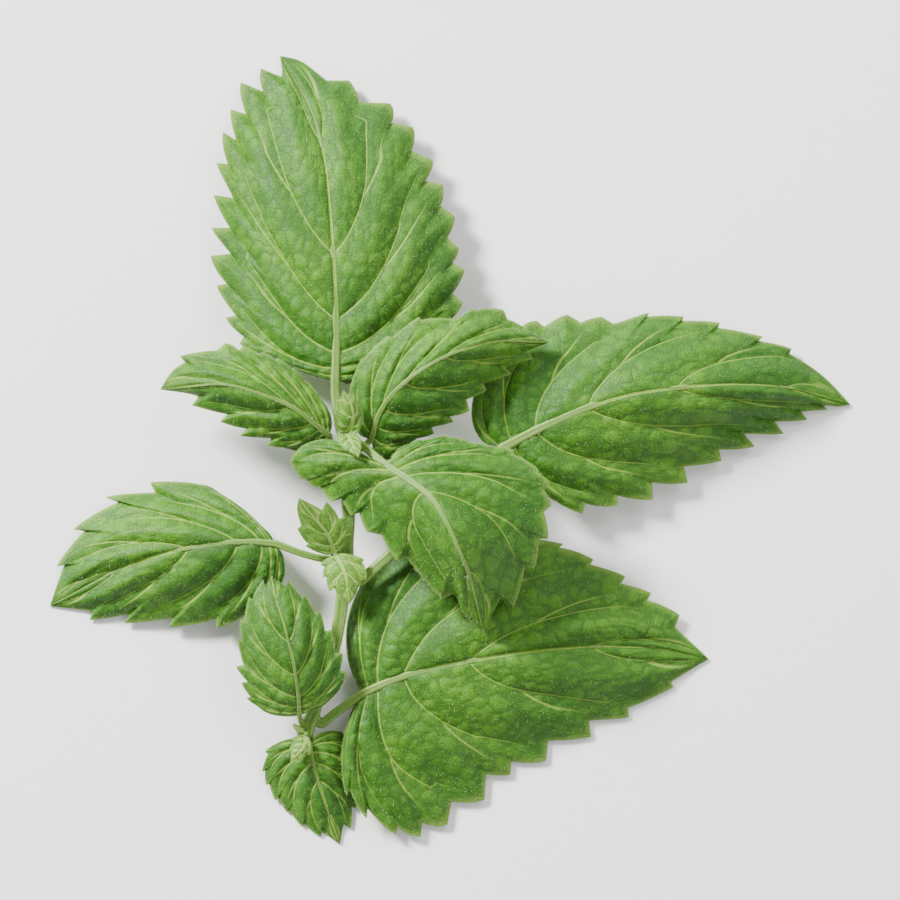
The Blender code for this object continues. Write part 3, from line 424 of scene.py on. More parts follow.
# Each leaf has a stalk, a midrib and two margins. Left and right are as seen from its base to its tip.
# The stalk ends where the midrib starts. A margin runs from there to the midrib's end, through the
# notches between the teeth. Its teeth begin at guide number "start", with the midrib's start as number 0.
# Its tips hold the end of the tooth before each notch, or None where the edge is smooth or hidden.
LEAVES = {
    "leaf_top": {
        "stalk": [(-21.9, 4.4, 12.9), (-22.5, 7.5, 12.4), (-22.8, 10.9, 12.2)],
        "midrib": [
            (-22.9, 14.1, 12.4), (-22.7, 24.1, 13.2), (-23.1, 36.1, 13.4), (-23.9, 47.1, 12.2),
            (-25.1, 58.1, 9.6), (-27.9, 68.1, 6.0), (-34.1, 79.1, 0.5),
        ],
        "left": [
            (-25.7, 14.3, 11.8), (-32.1, 16.5, 10.4), (-37.5, 19.1, 8.8), (-41.3, 22.7, 7.6),
            (-42.9, 26.9, 6.8), (-44.7, 33.3, 5.6), (-43.9, 39.3, 5.0), (-44.1, 44.5, 4.6),
            (-43.5, 50.5, 4.4), (-44.5, 57.3, 4.0), (-42.9, 62.1, 3.6), (-40.9, 67.3, 3.0),
            (-37.5, 71.9, 2.2), (-33.9, 74.9, 1.4),
        ],
        "left_tips": [
            (-42.1, 21.3), (-44.9, 26.5), (-46.7, 32.9), (-47.9, 38.9), (-47.7, 44.5), (-47.3, 51.1),
            (-46.7, 57.5), (-45.5, 63.7), (-43.9, 68.3), (-41.9, 73.7), (-37.9, 76.5),
        ],
        "right": [
            (-19.9, 13.3, 11.6), (-10.9, 16.5, 10.0), (-4.9, 21.1, 8.4), (-1.9, 24.1, 7.6),
            (-0.3, 25.7, 7.2), (0.5, 31.3, 6.4), (0.5, 37.5, 6.0), (-0.5, 42.5, 5.6),
            (-1.9, 48.9, 5.2), (-4.9, 53.9, 4.8), (-7.7, 59.9, 4.2), (-11.7, 65.5, 3.6),
            (-18.1, 69.7, 3.0), (-24.7, 74.1, 2.2), (-29.7, 77.9, 1.2),
        ],
        "right_tips": [
            None, None, (2.5, 29.5), (2.9, 36.1), (1.7, 40.5), (0.9, 46.9), (-1.5, 53.1), (-3.5, 58.1),
            (-7.5, 64.7), (-12.1, 69.5), (-20.3, 74.1),
        ],
        "start": 3,
        "rise": 3.4,
        "stalk_radius": 0.95,
    },
    "leaf_front": {
        "stalk": [(-19.2, 1.9, 14.7), (-17.5, 0.9, 16.4), (-15.1, -1.1, 18.4)],
        "midrib": [
            (-12.3, -3.3, 20.0), (-7.9, -6.1, 23.4), (-3.5, -9.7, 26.4), (-0.5, -14.7, 27.8),
            (1.7, -19.5, 27.0), (3.5, -23.9, 24.4), (4.9, -28.9, 19.6), (6.7, -36.5, 11.3),
        ],
        "left": [
            (-11.5, -1.1, 18.9), (-9.9, 0.5, 18.6), (-7.9, 1.3, 18.5), (-5.3, 1.9, 18.6),
            (-0.1, 2.5, 19.0), (3.9, 1.5, 19.3), (7.7, 0.7, 19.6), (12.7, -0.9, 19.9),
            (17.7, -4.7, 20.3), (18.7, -7.9, 20.2), (18.7, -12.3, 19.8), (17.7, -17.7, 18.8),
            (14.9, -23.1, 16.8), (10.1, -29.5, 13.0),
        ],
        "left_tips": [
            (-5.9, 2.1), (-0.5, 2.9), (3.5, 1.9), (7.3, 1.1), (12.3, 0.1), (17.5, -3.7), (19.7, -6.9),
            (20.1, -11.1), (19.5, -17.7), (16.7, -23.7), (12.7, -31.3),
        ],
        "right": [
            (-16.5, -1.3, 18.4), (-21.5, 1.3, 16.8), (-24.7, 2.1, 15.9), (-27.5, 1.7, 15.2),
            (-30.1, 0.3, 14.4), (-31.5, -2.7, 13.6), (-28.5, -5.9, 13.3), (-25.9, -7.3, 13.4),
            (-21.7, -9.7, 14.0), (-18.1, -12.5, 14.7), (-13.7, -16.9, 15.6), (-8.7, -21.3, 16.0),
            (0.7, -28.7, 14.4), (2.5, -32.3, 12.8),
        ],
        "right_tips": [
            None, None, (-31.9, -2.3), (-29.4, -6.0), (-26.8, -7.5), (-23.7, -10.3), (-19.7, -13.1),
            (-16.5, -16.3), (-10.5, -22.1), (-1.7, -29.7), None,
        ],
        "start": 3,
        "rise": 3.8,
        "stalk_radius": 0.8,
    },
    "leaf_upper_left": {
        "stalk": [(-23.8, 0.3, 12.6), (-24.0, 1.5, 13.3)],
        "midrib": [
            (-24.1, 2.9, 14.2), (-27.1, 5.3, 16.4), (-30.7, 8.1, 18.2), (-35.1, 10.3, 19.2),
            (-40.3, 12.1, 19.2), (-45.5, 13.1, 18.0), (-50.9, 12.9, 15.4), (-57.9, 12.1, 10.6),
        ],
        "left": [
            (-24.3, 0.5, 12.6), (-26.5, -0.5, 12.1), (-28.9, -0.5, 12.0), (-30.5, -0.3, 12.0),
            (-31.9, 0.1, 12.1), (-33.3, 0.5, 12.3), (-35.7, 2.3, 12.6), (-40.7, 4.3, 13.0),
            (-44.5, 7.1, 13.2), (-50.3, 10.7, 12.6),
        ],
        "left_tips": [None, None, None, (-36.5, 0.9), (-41.9, 2.9), (-45.9, 5.7), (-51.5, 8.9)],
        "right": [
            (-23.5, 5.3, 14.6), (-24.3, 8.1, 15.0), (-26.1, 10.7, 15.1), (-28.9, 13.7, 15.2),
            (-31.7, 16.3, 15.4), (-34.9, 18.1, 15.3), (-38.1, 19.1, 15.1), (-42.1, 19.9, 14.7),
            (-46.5, 19.9, 14.0), (-52.9, 17.5, 12.3), (-55.7, 15.5, 11.4),
        ],
        "right_tips": [
            (-28.3, 13.5), (-31.1, 16.3), (-34.3, 18.3), (-37.5, 19.5), (-41.3, 20.7), (-44.9, 21.3),
            (-53.9, 18.7),
        ],
        "start": 3,
        "rise": 3.0,
        "stalk_radius": 0.65,
    },
    "leaf_upper_right": {
        "stalk": [(-18.5, -0.1, 12.3), (-17.1, 0.9, 12.9)],
        "midrib": [
            (-15.7, 2.1, 13.8), (-14.5, 6.3, 16.2), (-12.3, 10.1, 18.4), (-8.7, 13.7, 20.4),
            (-3.5, 17.3, 21.6), (2.9, 20.1, 20.6), (10.1, 21.7, 17.4), (19.9, 21.5, 11.5),
        ],
        "left": [
            (-18.3, 3.3, 13.6), (-19.7, 7.7, 14.0), (-19.9, 12.5, 14.4), (-16.9, 18.5, 15.1),
            (-11.5, 22.5, 16.0), (-5.7, 25.9, 16.4), (1.1, 26.1, 15.9), (5.7, 27.9, 15.1),
            (11.5, 26.1, 13.5), (15.1, 24.1, 12.5),
        ],
        "left_tips": [
            (-17.5, 18.3), (-12.3, 22.7), (-6.1, 26.5), (0.1, 26.3), (4.7, 28.1), (10.7, 27.9),
            (14.5, 24.7),
        ],
        "right": [
            (-14.9, -1.1, 12.6), (-11.7, -1.9, 12.4), (-9.1, 0.5, 12.5), (-6.5, 2.3, 12.8),
            (-3.7, 4.5, 13.2), (-0.1, 6.7, 13.6), (3.3, 10.1, 13.8), (6.5, 13.3, 13.6),
            (10.3, 16.7, 13.2), (15.3, 19.7, 12.2),
        ],
        "right_tips": [
            None, (-3.1, 3.3), (0.7, 5.7), (3.9, 7.9), (7.3, 11.9), (12.3, 15.3), (16.5, 18.3),
        ],
        "start": 3,
        "rise": 2.6,
        "stalk_radius": 0.65,
    },
    "leaf_left": {
        "stalk": [(-23.3, -21.9, 8.3), (-25.7, -21.7, 8.8), (-29.6, -20.7, 9.4)],
        "midrib": [
            (-34.9, -18.7, 10.0), (-39.9, -18.3, 10.6), (-46.3, -18.7, 10.6), (-53.7, -19.9, 9.4),
            (-61.1, -21.9, 7.2), (-68.3, -24.9, 4.4), (-74.5, -28.1, 2.2), (-80.3, -31.3, 0.5),
        ],
        "left": [
            (-33.3, -21.3, 9.0), (-33.1, -25.1, 8.0), (-34.3, -27.5, 7.2), (-36.7, -29.9, 6.4),
            (-39.5, -32.1, 5.4), (-46.9, -33.9, 3.6), (-55.5, -33.7, 2.2), (-64.3, -32.9, 1.2),
            (-71.7, -32.3, 0.7),
        ],
        "left_tips": [None, None, (-46.7, -35.7), (-56.3, -35.5), (-65.3, -34.7), (-72.3, -34.1)],
        "right": [
            (-35.9, -16.9, 9.6), (-37.5, -15.3, 8.9), (-40.9, -12.1, 7.4), (-45.3, -9.1, 5.6),
            (-49.9, -6.9, 4.2), (-59.1, -8.5, 2.6), (-66.5, -10.5, 2.0), (-73.3, -16.3, 1.4),
            (-77.3, -23.1, 0.9),
        ],
        "right_tips": [None, None, (-60.1, -6.5), (-69.1, -9.5), (-75.5, -15.9), (-78.9, -23.4)],
        "start": 3,
        "rise": 3.4,
        "stalk_radius": 0.72,
    },
    "leaf_right": {
        "stalk": [
            (-18.2, -26.2, 8.7), (-17.1, -25.5, 9.0), (-15.1, -23.7, 9.5), (-11.5, -20.5, 10.0),
            (-4.3, -13.9, 10.2), (3.3, -6.7, 10.2),
        ],
        "midrib": [
            (10.7, 0.5, 10.0), (18.3, 4.5, 11.4), (26.5, 8.1, 12.6), (35.3, 10.9, 13.0),
            (44.5, 12.3, 12.2), (54.5, 13.1, 10.0), (64.1, 12.9, 6.8), (72.7, 11.5, 3.4),
            (80.3, 9.1, 0.5),
        ],
        "left": [
            (6.5, 1.7, 9.2), (4.3, 6.5, 8.2), (5.3, 13.1, 7.1), (8.5, 19.1, 6.3), (14.1, 24.3, 5.7),
            (18.9, 24.7, 5.4), (26.3, 25.5, 5.2), (32.7, 25.3, 5.0), (39.5, 26.7, 4.6),
            (46.5, 25.9, 4.1), (53.7, 24.5, 3.5), (61.9, 21.9, 2.6), (68.1, 19.3, 1.8),
            (74.5, 15.1, 1.0),
        ],
        "left_tips": [
            None, None, (17.3, 25.9), (23.5, 27.1), (30.3, 26.7), (39.9, 27.5), (46.9, 26.7),
            (54.1, 25.5), (62.7, 22.7), (68.5, 20.3), None,
        ],
        "right": [
            (12.5, -2.7, 9.0), (14.3, -4.3, 8.6), (16.7, -6.7, 8.0), (19.3, -9.1, 7.4),
            (27.1, -10.7, 6.0), (33.5, -9.1, 5.0), (40.5, -6.5, 4.0), (46.9, -3.3, 3.0),
            (53.9, 0.1, 2.2), (58.9, 3.3, 1.6), (65.1, 5.7, 1.2), (70.3, 7.7, 0.9), (74.9, 8.9, 0.7),
            (77.7, 8.7, 0.6),
        ],
        "right_tips": [
            None, (26.5, -12.7), (33.7, -11.1), (40.7, -9.9), (47.7, -6.5), (54.5, -2.1), (61.1, 0.7),
            (66.9, 3.3), (71.7, 6.1), (75.7, 8.1), None,
        ],
        "start": 3,
        "rise": 2.8,
        "stalk_radius": 1.1,
    },
    "leaf_lower_right": {
        "stalk": [(-25.6, -54.7, 4.4), (-23.5, -53.1, 5.0), (-20.3, -50.7, 5.8)],
        "midrib": [
            (-17.5, -48.7, 6.3), (-11.1, -45.9, 7.6), (-3.5, -43.7, 8.6), (4.5, -42.1, 9.0),
            (12.9, -40.7, 8.8), (22.1, -39.7, 7.6), (32.1, -39.3, 5.4), (42.5, -39.9, 2.6),
            (51.9, -41.9, 0.5),
        ],
        "left": [
            (-19.3, -45.5, 5.0), (-20.7, -40.9, 3.5), (-20.7, -34.9, 3.1), (-19.3, -29.9, 3.3),
            (-16.7, -25.3, 3.8), (-12.3, -21.5, 4.4), (-6.3, -18.9, 5.0), (1.1, -17.3, 5.6),
            (10.1, -17.1, 5.8), (21.9, -19.5, 5.5), (28.1, -22.9, 4.8), (34.3, -26.7, 4.0),
            (39.5, -30.1, 3.0), (45.1, -35.5, 1.6),
        ],
        "left_tips": [
            None, None, None, None, None, None, (22.7, -18.8), (28.7, -21.9), (35.1, -25.3),
            (40.3, -28.7), (46.1, -33.1),
        ],
        "right": [
            (-19.7, -52.3, 5.9), (-21.3, -57.5, 5.9), (-21.7, -62.9, 6.0), (-20.1, -67.9, 5.2),
            (-16.5, -71.9, 3.9), (-10.5, -75.5, 2.2), (-5.5, -74.7, 1.4), (0.3, -70.5, 1.2),
            (7.3, -65.1, 1.2), (12.3, -62.5, 1.0), (19.7, -58.3, 0.9), (27.9, -54.3, 0.8),
            (35.7, -51.7, 0.7), (44.3, -46.5, 0.6),
        ],
        "right_tips": [
            (-20.7, -69.3), (-16.7, -73.9), (-10.9, -77.1), (-5.9, -77.5), (-0.5, -75.1), (6.9, -70.1),
            (12.1, -65.1), (19.3, -62.3), (28.3, -57.5), (35.9, -53.5), (44.9, -47.5),
        ],
        "start": 3,
        "rise": 3.6,
        "stalk_radius": 0.9,
    },
    "leaf_lower_up": {
        "stalk": [(-29.6, -54.7, 6.5), (-29.85, -54.0, 7.4)],
        "midrib": [
            (-30.1, -53.1, 8.6), (-30.3, -48.9, 12.0), (-30.9, -44.3, 14.4), (-31.9, -39.5, 15.6),
            (-33.3, -34.3, 15.8), (-34.7, -29.9, 15.0), (-35.7, -25.3, 13.0),
        ],
        "left": [
            (-33.1, -53.3, 8.5), (-36.3, -52.7, 8.6), (-38.7, -51.1, 8.9), (-39.9, -49.3, 9.3),
            (-40.5, -46.3, 10.0), (-41.3, -42.9, 10.5), (-41.5, -38.3, 11.2), (-41.1, -34.3, 11.7),
            (-39.5, -29.9, 12.3), (-36.9, -27.1, 12.8),
        ],
        "left_tips": [
            (-40.7, -49.5), (-41.7, -46.5), (-42.7, -43.3), (-42.5, -37.5), (-41.9, -33.9),
            (-40.1, -29.3), (-37.3, -25.9),
        ],
        "right": [
            (-28.1, -52.3, 9.0), (-25.3, -51.1, 9.5), (-23.1, -49.1, 10.0), (-21.7, -47.1, 10.5),
            (-21.9, -44.1, 11.2), (-22.9, -40.7, 11.8), (-24.9, -36.1, 12.4), (-26.7, -32.9, 12.8),
            (-29.5, -29.7, 13.0), (-32.7, -27.3, 13.0),
        ],
        "right_tips": [
            None, (-20.7, -44.3), (-21.5, -40.5), (-23.7, -35.9), (-26.1, -31.9), (-29.1, -28.7),
            (-32.3, -26.0),
        ],
        "start": 3,
        "rise": 2.4,
        "stalk_radius": 0.5,
    },
    "leaf_lower_down": {
        "stalk": [(-28.6, -58.0, 5.3), (-28.4, -58.35, 5.2)],
        "midrib": [
            (-28.2, -58.7, 5.1), (-27.5, -62.1, 5.5), (-26.5, -65.9, 4.8), (-25.3, -69.9, 3.6),
            (-23.9, -74.1, 2.0), (-22.1, -79.1, 0.4),
        ],
        "left": [
            (-26.7, -57.1, 5.2), (-24.5, -56.3, 4.2), (-21.9, -56.5, 3.0), (-20.3, -57.9, 2.4),
            (-19.3, -60.3, 1.8), (-18.9, -63.1, 1.4), (-18.7, -65.9, 1.2), (-18.9, -68.9, 1.0),
            (-19.7, -71.5, 0.8), (-21.3, -75.1, 0.6),
        ],
        "left_tips": [None, None, None, None, None, (-18.9, -72.1), (-19.9, -75.9)],
        "right": [
            (-29.9, -57.7, 5.3), (-32.5, -57.9, 4.4), (-34.9, -58.9, 3.5), (-36.5, -60.9, 2.6),
            (-37.1, -64.3, 1.6), (-36.3, -66.9, 1.1), (-34.5, -69.7, 0.8), (-32.3, -72.3, 0.6),
            (-29.3, -74.9, 0.5), (-25.7, -76.5, 0.4),
        ],
        "right_tips": [
            (-37.1, -60.5), (-37.7, -64.5), (-36.8, -67.3), (-35.0, -70.4), (-32.7, -72.7),
            (-29.5, -75.7), (-25.9, -77.7),
        ],
        "start": 3,
        "rise": 3.4,
        "stalk_radius": 0.5,
    },
}


def side_columns(leaf, side):
    """For each column of one half of the blade: its share of the margin and its cut out to a tooth."""
    margin = Run([leaf["midrib"][0], *leaf[side], leaf["midrib"][-1]])
    tips = leaf[side + "_tips"]
    notches = [margin.share_of(leaf["start"] + tooth) for tooth in range(len(tips) + 1)]
    parts = np.array(BACK_PARTS + FRONT_PARTS)
    back = 1 - np.maximum(1 - parts / TOOTH_TIP, 0) ** BACK_SWELL
    reach = np.where(parts < TOOTH_TIP, back, (1 - parts) / (1 - TOOTH_TIP))
    shares = [BASE_PARTS * notches[0]]
    cuts = [np.zeros((BASE_COLUMNS, 3))]
    for tip, here, there in zip(tips, notches, notches[1:]):
        foot = margin.at(here + (there - here) * TOOTH_TIP)
        cut = np.zeros(3) if tip is None else np.array([*tip, foot[2]]) - foot
        shares.append(here + (there - here) * parts)
        cuts.append(reach[:, None] * cut)
    shares.append(notches[-1] + TIP_PARTS * (1 - notches[-1]))
    cuts.append(np.zeros((TIP_COLUMNS, 3)))
    return margin, np.concatenate(shares), np.concatenate(cuts)


def vein_places(leaf, first):
    """The place of each column among the side veins: a whole number on a vein."""
    teeth = len(leaf["left_tips"])
    base = (BASE_PARTS - 1) * teeth * first / (1 - first)
    steps = np.add.outer(np.arange(teeth), BACK_PARTS + FRONT_PARTS).ravel()
    places = np.concatenate([base, steps, teeth + TIP_PARTS]) - TOOTH_TIP
    return places * leaf.get("side_veins", SIDE_VEINS) / teeth


def fork_gap(vein_place, row, pitch):
    """How far each point is from the branch of a side vein towards a lower tooth, in millimetres."""
    spread = FORK_ENDS * np.clip((row - FORK_FROM) / (1 - FORK_FROM), 0, 1)
    gap = np.abs(np.ceil(vein_place) - vein_place - spread) * pitch * FORK_SLANT
    return np.where(row > FORK_FROM, gap, NO_FORK)


def groove(gap, deep, soft):
    """How deep a groove is at each gap from its middle."""
    return deep * np.exp(-((gap / soft) ** 2))


def pucker(points, cell):
    """The swell of the blade in each mesh of its net: near 1 in its middle and 0 on the net."""
    heights = []
    for point in points:
        near = noise.voronoi(Vector((point[0] / cell, point[1] / cell, 0.0)))[0]
        heights.append(min((near[1] - near[0]) * PUCKER_STEEP, 1.0))
    return np.array(heights)


def blade_grid(leaf):
    """The blade's middle sheet as a grid, base to tip and left margin to right, with its readings."""
    midrib = Run(leaf["midrib"])
    sides = [side_columns(leaf, side) for side in ("left", "right")]
    shares = (sides[0][1] + sides[1][1]) / 2
    vein_place = vein_places(leaf, shares[BASE_COLUMNS])
    root_shares = VEIN_SPREAD * shares + (1 - VEIN_SPREAD) * shares ** leaf["rise"]
    root = midrib.at(root_shares)
    forward = midrib.along(root_shares)
    widest = max(np.linalg.norm(margin.at(ends) - root, axis=1).max() for margin, ends, _ in sides)
    rows = np.linspace(0, 1, max(int(widest / ROW_SPACING), LEAST_ROWS) + 1)
    size = leaf.get("relief", 1.0)
    halves = []
    for margin, ends, cuts in sides:
        end = margin.at(ends)
        reach = np.linalg.norm(end - root, axis=1)
        bend = VEIN_BEND * reach * np.minimum(shares / VEIN_BEND_FROM, 1) ** 2
        middle = (root + end) / 2 - forward * bend[:, None]
        row = rows[None, :, None]
        sheet = root[:, None] * (1 - row) ** 2 + 2 * middle[:, None] * row * (1 - row)
        sheet += end[:, None] * row**2
        sheet += cuts[:, None] * row**TOOTH_REACH
        across = np.gradient(sheet, axis=1)
        across /= np.maximum(np.linalg.norm(across, axis=2, keepdims=True), TINY)
        step = np.gradient(sheet, axis=0) / np.gradient(vein_place)[:, None, None]
        step -= across * (step * across).sum(axis=2, keepdims=True)
        pitch = np.linalg.norm(step, axis=2)
        level = np.repeat(rows[None], len(shares), axis=0)
        place = vein_place[:, None] + VEIN_CLIMB * (1 - level**2)
        slant = 2 * VEIN_CLIMB * level / np.maximum(reach, 1)[:, None]
        pitch /= np.sqrt(1 + (slant * pitch) ** 2)
        vein_gap = np.abs(place - np.round(place)) * pitch
        swell = 4 * level * (1 - level)
        room = np.minimum(reach / QUILT_REACH, 1)[:, None] * np.minimum(pitch / QUILT_PITCH, 1)
        quilt = -np.cos(2 * math.pi * place) * room
        lift = swell * (CROWN * reach[:, None] + QUILT * quilt)
        inside = 1 - level**EASES_OUT
        lift -= size * groove(vein_gap, *VEIN_GROOVE) * inside * room
        lift -= size * groove(fork_gap(place, level, pitch), *FORK_GROOVE) * inside
        sheet[..., 2] += lift
        halves.append({"sheet": sheet, "place": place, "level": level, "pitch": pitch})
    left, right = halves
    grid = {key: np.concatenate([left[key][:, :0:-1], right[key]], axis=1) for key in left}
    grid["along"] = np.repeat(root_shares[:, None], grid["level"].shape[1], axis=1)
    return grid, midrib


def leaf_blade(name, leaf):
    """The finished blade: a closed skin with its relief, thinner at its edge."""
    grid, midrib = blade_grid(leaf)
    sheet = grid.pop("sheet")
    columns, rows = sheet.shape[:2]
    spine = midrib.at(np.linspace(0, 1, SPINE_POINTS))
    points = np.vstack([sheet.reshape(-1, 3), midrib.at(0.0), midrib.at(1.0)])
    gap = np.linalg.norm(points[:, None, :2] - spine[None, :, :2], axis=2).min(axis=1)
    size = leaf.get("relief", 1.0)
    count = len(points)
    base, tip = count - 2, count - 1
    index = np.arange(columns * rows).reshape(columns, rows)
    corners = [index[:-1, :-1], index[:-1, 1:], index[1:, 1:], index[1:, :-1]]
    quads = np.stack(corners, axis=-1).reshape(-1, 4)
    faces = [tuple(quad) for quad in quads.tolist()]
    faces += [(base, b, a) for a, b in zip(index[0].tolist(), index[0, 1:].tolist())]
    faces += [(tip, a, b) for a, b in zip(index[-1].tolist(), index[-1, 1:].tolist())]
    level = np.append(grid["level"].ravel(), [0.0, 1.0])
    along = np.append(grid["along"].ravel(), [0.0, 1.0])
    puckers = pucker(points, PUCKER_CELL * max(size, SMALLEST_CELL))
    free = np.clip(gap / PUCKER_CLEAR, 0, 1) * (1 - PUCKER_CALM * level**EASES_OUT)
    points[:, 2] += size * PUCKER_HEIGHT * (puckers - 0.5) * free
    points[:, 2] -= size * groove(gap, *MIDRIB_GROOVE) * (1 - MIDRIB_EASE * along)
    slope = upright_part(points, quads)
    half = BLADE_THICKNESS / 2 * (1 - EDGE_THINNING * level**EDGE_CLOSE) / np.clip(slope, STEEPEST, 1)
    under = np.maximum(points[:, 2] - half, 0)
    top = np.column_stack([points[:, :2], under + 2 * half])
    bottom = np.column_stack([points[:, :2], under])
    solid = faces + [tuple(count + corner for corner in reversed(face)) for face in faces]
    edges = {(a, b) for face in faces for a, b in zip(face, face[1:] + face[:1])}
    solid += [(b, a, count + a, count + b) for a, b in sorted(edges) if (b, a) not in edges]
    readings = {
        "vein_place": np.append(grid["place"].ravel(), [0.0, 0.0]),
        "level": level,
        "pitch": np.append(grid["pitch"].ravel(), [END_PITCH, END_PITCH]),
        "midrib_gap": gap,
        "along": along,
        "pucker": puckers,
        "fringe": level**FRINGE_CLOSE,
    }
    doubled = {key: np.concatenate([values, values]) for key, values in readings.items()}
    doubled["underside"] = np.repeat([0.0, 1.0], count)
    return plain_mesh(name, np.vstack([top, bottom]), solid, doubled)


def upright_part(points, quads):
    """How far each point's sheet is from lying flat: 1 where it is level."""
    a, b, c, d = (points[quads[:, corner]] for corner in range(4))
    normals = np.cross(c - a, d - b)
    summed = np.zeros_like(points)
    for corner in range(4):
        np.add.at(summed, quads[:, corner], normals)
    return summed[:, 2] / np.maximum(np.linalg.norm(summed, axis=1), TINY)


def leaf_stalk(name, leaf):
    """The stalk from inside the stem's skin to the blade, and on under the blade as its midrib."""
    start = np.array(leaf["stalk"][0])
    nearest = stem_centres[np.linalg.norm(stem_centres - start, axis=1).argmin()]
    root = nearest + (start - nearest) * STALK_SUNK
    stalk_run = Run([root, *leaf["stalk"], leaf["midrib"][0]])
    midrib = Run(leaf["midrib"])
    thick = leaf["stalk_radius"]
    rings = max(int(stalk_run.length / STALK_STEP), LEAST_RINGS)
    stalk_shares = np.linspace(0, 1, rings, endpoint=False)
    flare = 1 + STALK_FLARE * np.exp(-stalk_shares * stalk_run.length / FLARE_REACH)
    shares, thins, sinks = np.array(MIDRIB_THINS).T
    rib_shares = np.linspace(0, shares[-1], int(midrib.length * shares[-1] / STALK_STEP))
    rib_thin = np.interp(rib_shares, shares, thins)
    sunk = np.interp(rib_shares, shares, sinks) * rib_thin * thick
    ribs = midrib.at(rib_shares) - sunk[:, None] * (0, 0, 1)
    centres = np.vstack([stalk_run.at(stalk_shares), ribs])
    radii = thick * np.concatenate([flare, rib_thin])
    steps = np.gradient(centres, axis=0)
    forward = steps / np.linalg.norm(steps, axis=1, keepdims=True)
    turns = np.linspace(0, 2 * math.pi, STALK_SIDES, endpoint=False)
    ring = np.column_stack([np.cos(turns), np.sin(turns)])
    ring *= 1 - groove(turns - math.pi / 2, *STALK_GROOVE)[:, None]
    return swept(name, centres, forward, radii[:, None, None] * ring[None])


# Where each marking starts and ends to fade: for veins in millimetres from their middle.
SIDE_VEIN_FADES = (0.08, 0.34)
SIDE_VEIN_THINS = 0.14
FORK_FADES = (0.05, 0.24)
FORK_GROWS = 0.06
RIB_HALF = 0.62
RIB_THINS = 0.46
RIB_CORE = 0.55
RIB_EDGE_FADES = (0.03, 0.26)
NET_FADES = (0.01, 0.13)
FURROW_FADES = (0.05, 0.45)
BLADE_PATCH_FADES = (0.3, 0.7)
FLECK_FADES = (0.35, 0.65)
MARGIN_FADES = (0.0, 0.05)
NET_WARP = (0.9, 0.9, 0.0)
WARP_SCALE = 0.5
BLADE_PATCH_SCALE = 0.07
FLECK_SCALE = 0.9
BLADE_BUMP = 0.2
UNDER_GREENS = ((0.14, 0.25, 0.06), (0.19, 0.30, 0.08))
UNDER_FURROW = (0.25, 0.36, 0.12)
UNDER_VEIN = (0.30, 0.40, 0.15)
BLADE_READINGS = ("vein_place", "level", "pitch", "midrib_gap", "along", "pucker", "underside")


def leaf_finish(name, deep, bright, young, painted_shade):
    """A leaf's skin: pale midrib and side veins, painted shade in a fine net between, in the furrows and
    along the midrib's edges, and a paler, duller underside.
    """
    finish = Finish(name)
    place, level, pitch, gap, along, pucker, underside = map(finish.reading, BLADE_READINGS)

    vein_gap = ((place + 0.5).fraction() - 0.5).size() * pitch
    thick, thin = SIDE_VEIN_FADES
    side_vein = finish.fade(vein_gap, thick, thin - level * SIDE_VEIN_THINS)
    fork_at = ((level - FORK_FROM) / (1 - FORK_FROM)).larger(0.0) * FORK_ENDS
    branch_gap = (1 - place.fraction() - fork_at).size() * pitch * FORK_SLANT
    grown = 1 - finish.fade(level, FORK_FROM, FORK_FROM + FORK_GROWS)
    fork = finish.fade(branch_gap, *FORK_FADES) * grown
    rib_half = RIB_HALF - along * RIB_THINS
    rib = finish.fade(gap, rib_half * RIB_CORE, rib_half)
    rib_edge = finish.fade((gap - rib_half).size(), *RIB_EDGE_FADES)
    clear = finish.fade(level, *VEIN_FADES) * finish.fade(along, *TIP_FADES)
    veins = (side_vein.larger(fork) * clear).larger(rib)

    flat_place = finish.place((1, 1, 0))
    warp = finish.mottle(flat_place, WARP_SCALE, 2.0, "Color")
    sockets = {0: warp, 1: NET_WARP, 2: flat_place}
    bent = finish.node("ShaderNodeVectorMath", {"operation": "MULTIPLY_ADD"}, sockets)
    settings = {"voronoi_dimensions": "2D", "feature": "DISTANCE_TO_EDGE"}
    sockets = {"Vector": bent, "Scale": 1 / NET_CELL}
    mesh = finish.node("ShaderNodeTexVoronoi", settings, sockets, "Distance")
    net = finish.fade(mesh * NET_CELL, *NET_FADES)
    furrow = finish.fade(pucker, *FURROW_FADES)
    patches = finish.fade(finish.mottle(finish.place(), BLADE_PATCH_SCALE), *BLADE_PATCH_FADES)
    flecks = finish.mottle(finish.place(), FLECK_SCALE)

    # The darkest green is laid on as painted shade: in the furrows between the puckers, along the fine
    # net and along the midrib's edges.
    layers = (
        (finish.fade(flecks, *FLECK_FADES), 0.4, deep),
        (furrow, 0.5, painted_shade),
        (net, 0.22, painted_shade),
        (rib_edge * (1 - along), 0.5, painted_shade),
        (veins, 0.7, young),
        (finish.fade(1 - level, *MARGIN_FADES), 0.4, young),
    )
    top = finish.layered(finish.mix(patches, bright, deep), layers)
    layers = ((furrow, 0.5, UNDER_FURROW), (veins, 0.8, UNDER_VEIN))
    below = finish.layered(finish.mix(patches, *UNDER_GREENS), layers)
    finish.set(Base_Color=finish.mix(underside, top, below))
    finish.set(Roughness=0.5 + flecks * 0.18 + underside * 0.2, Specular_IOR_Level=0.3)
    finish.relief(flecks * 0.3 - (veins * 0.55 + net * 0.22), BLADE_BUMP)
    return finish.material


# Its darkest green is painted shade for the blade's furrows, fine net and midrib edges.
blade_finish = leaf_finish(
    "leaf_blade",
    deep=(0.028, 0.12, 0.003),
    bright=(0.075, 0.215, 0.006),
    young=(0.22, 0.36, 0.045),
    painted_shade=(0.012, 0.055, 0.002),
)
for name, leaf in LEAVES.items():
    blade = leaf_blade(name + "_blade", leaf)
    blade.data.materials.append(blade_finish)
    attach(blade, "root")
    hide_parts(name)
    stalk = leaf_stalk(name + "_stalk", leaf)
    stalk.data.materials.append(stem_skin)
    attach(stalk, "root")

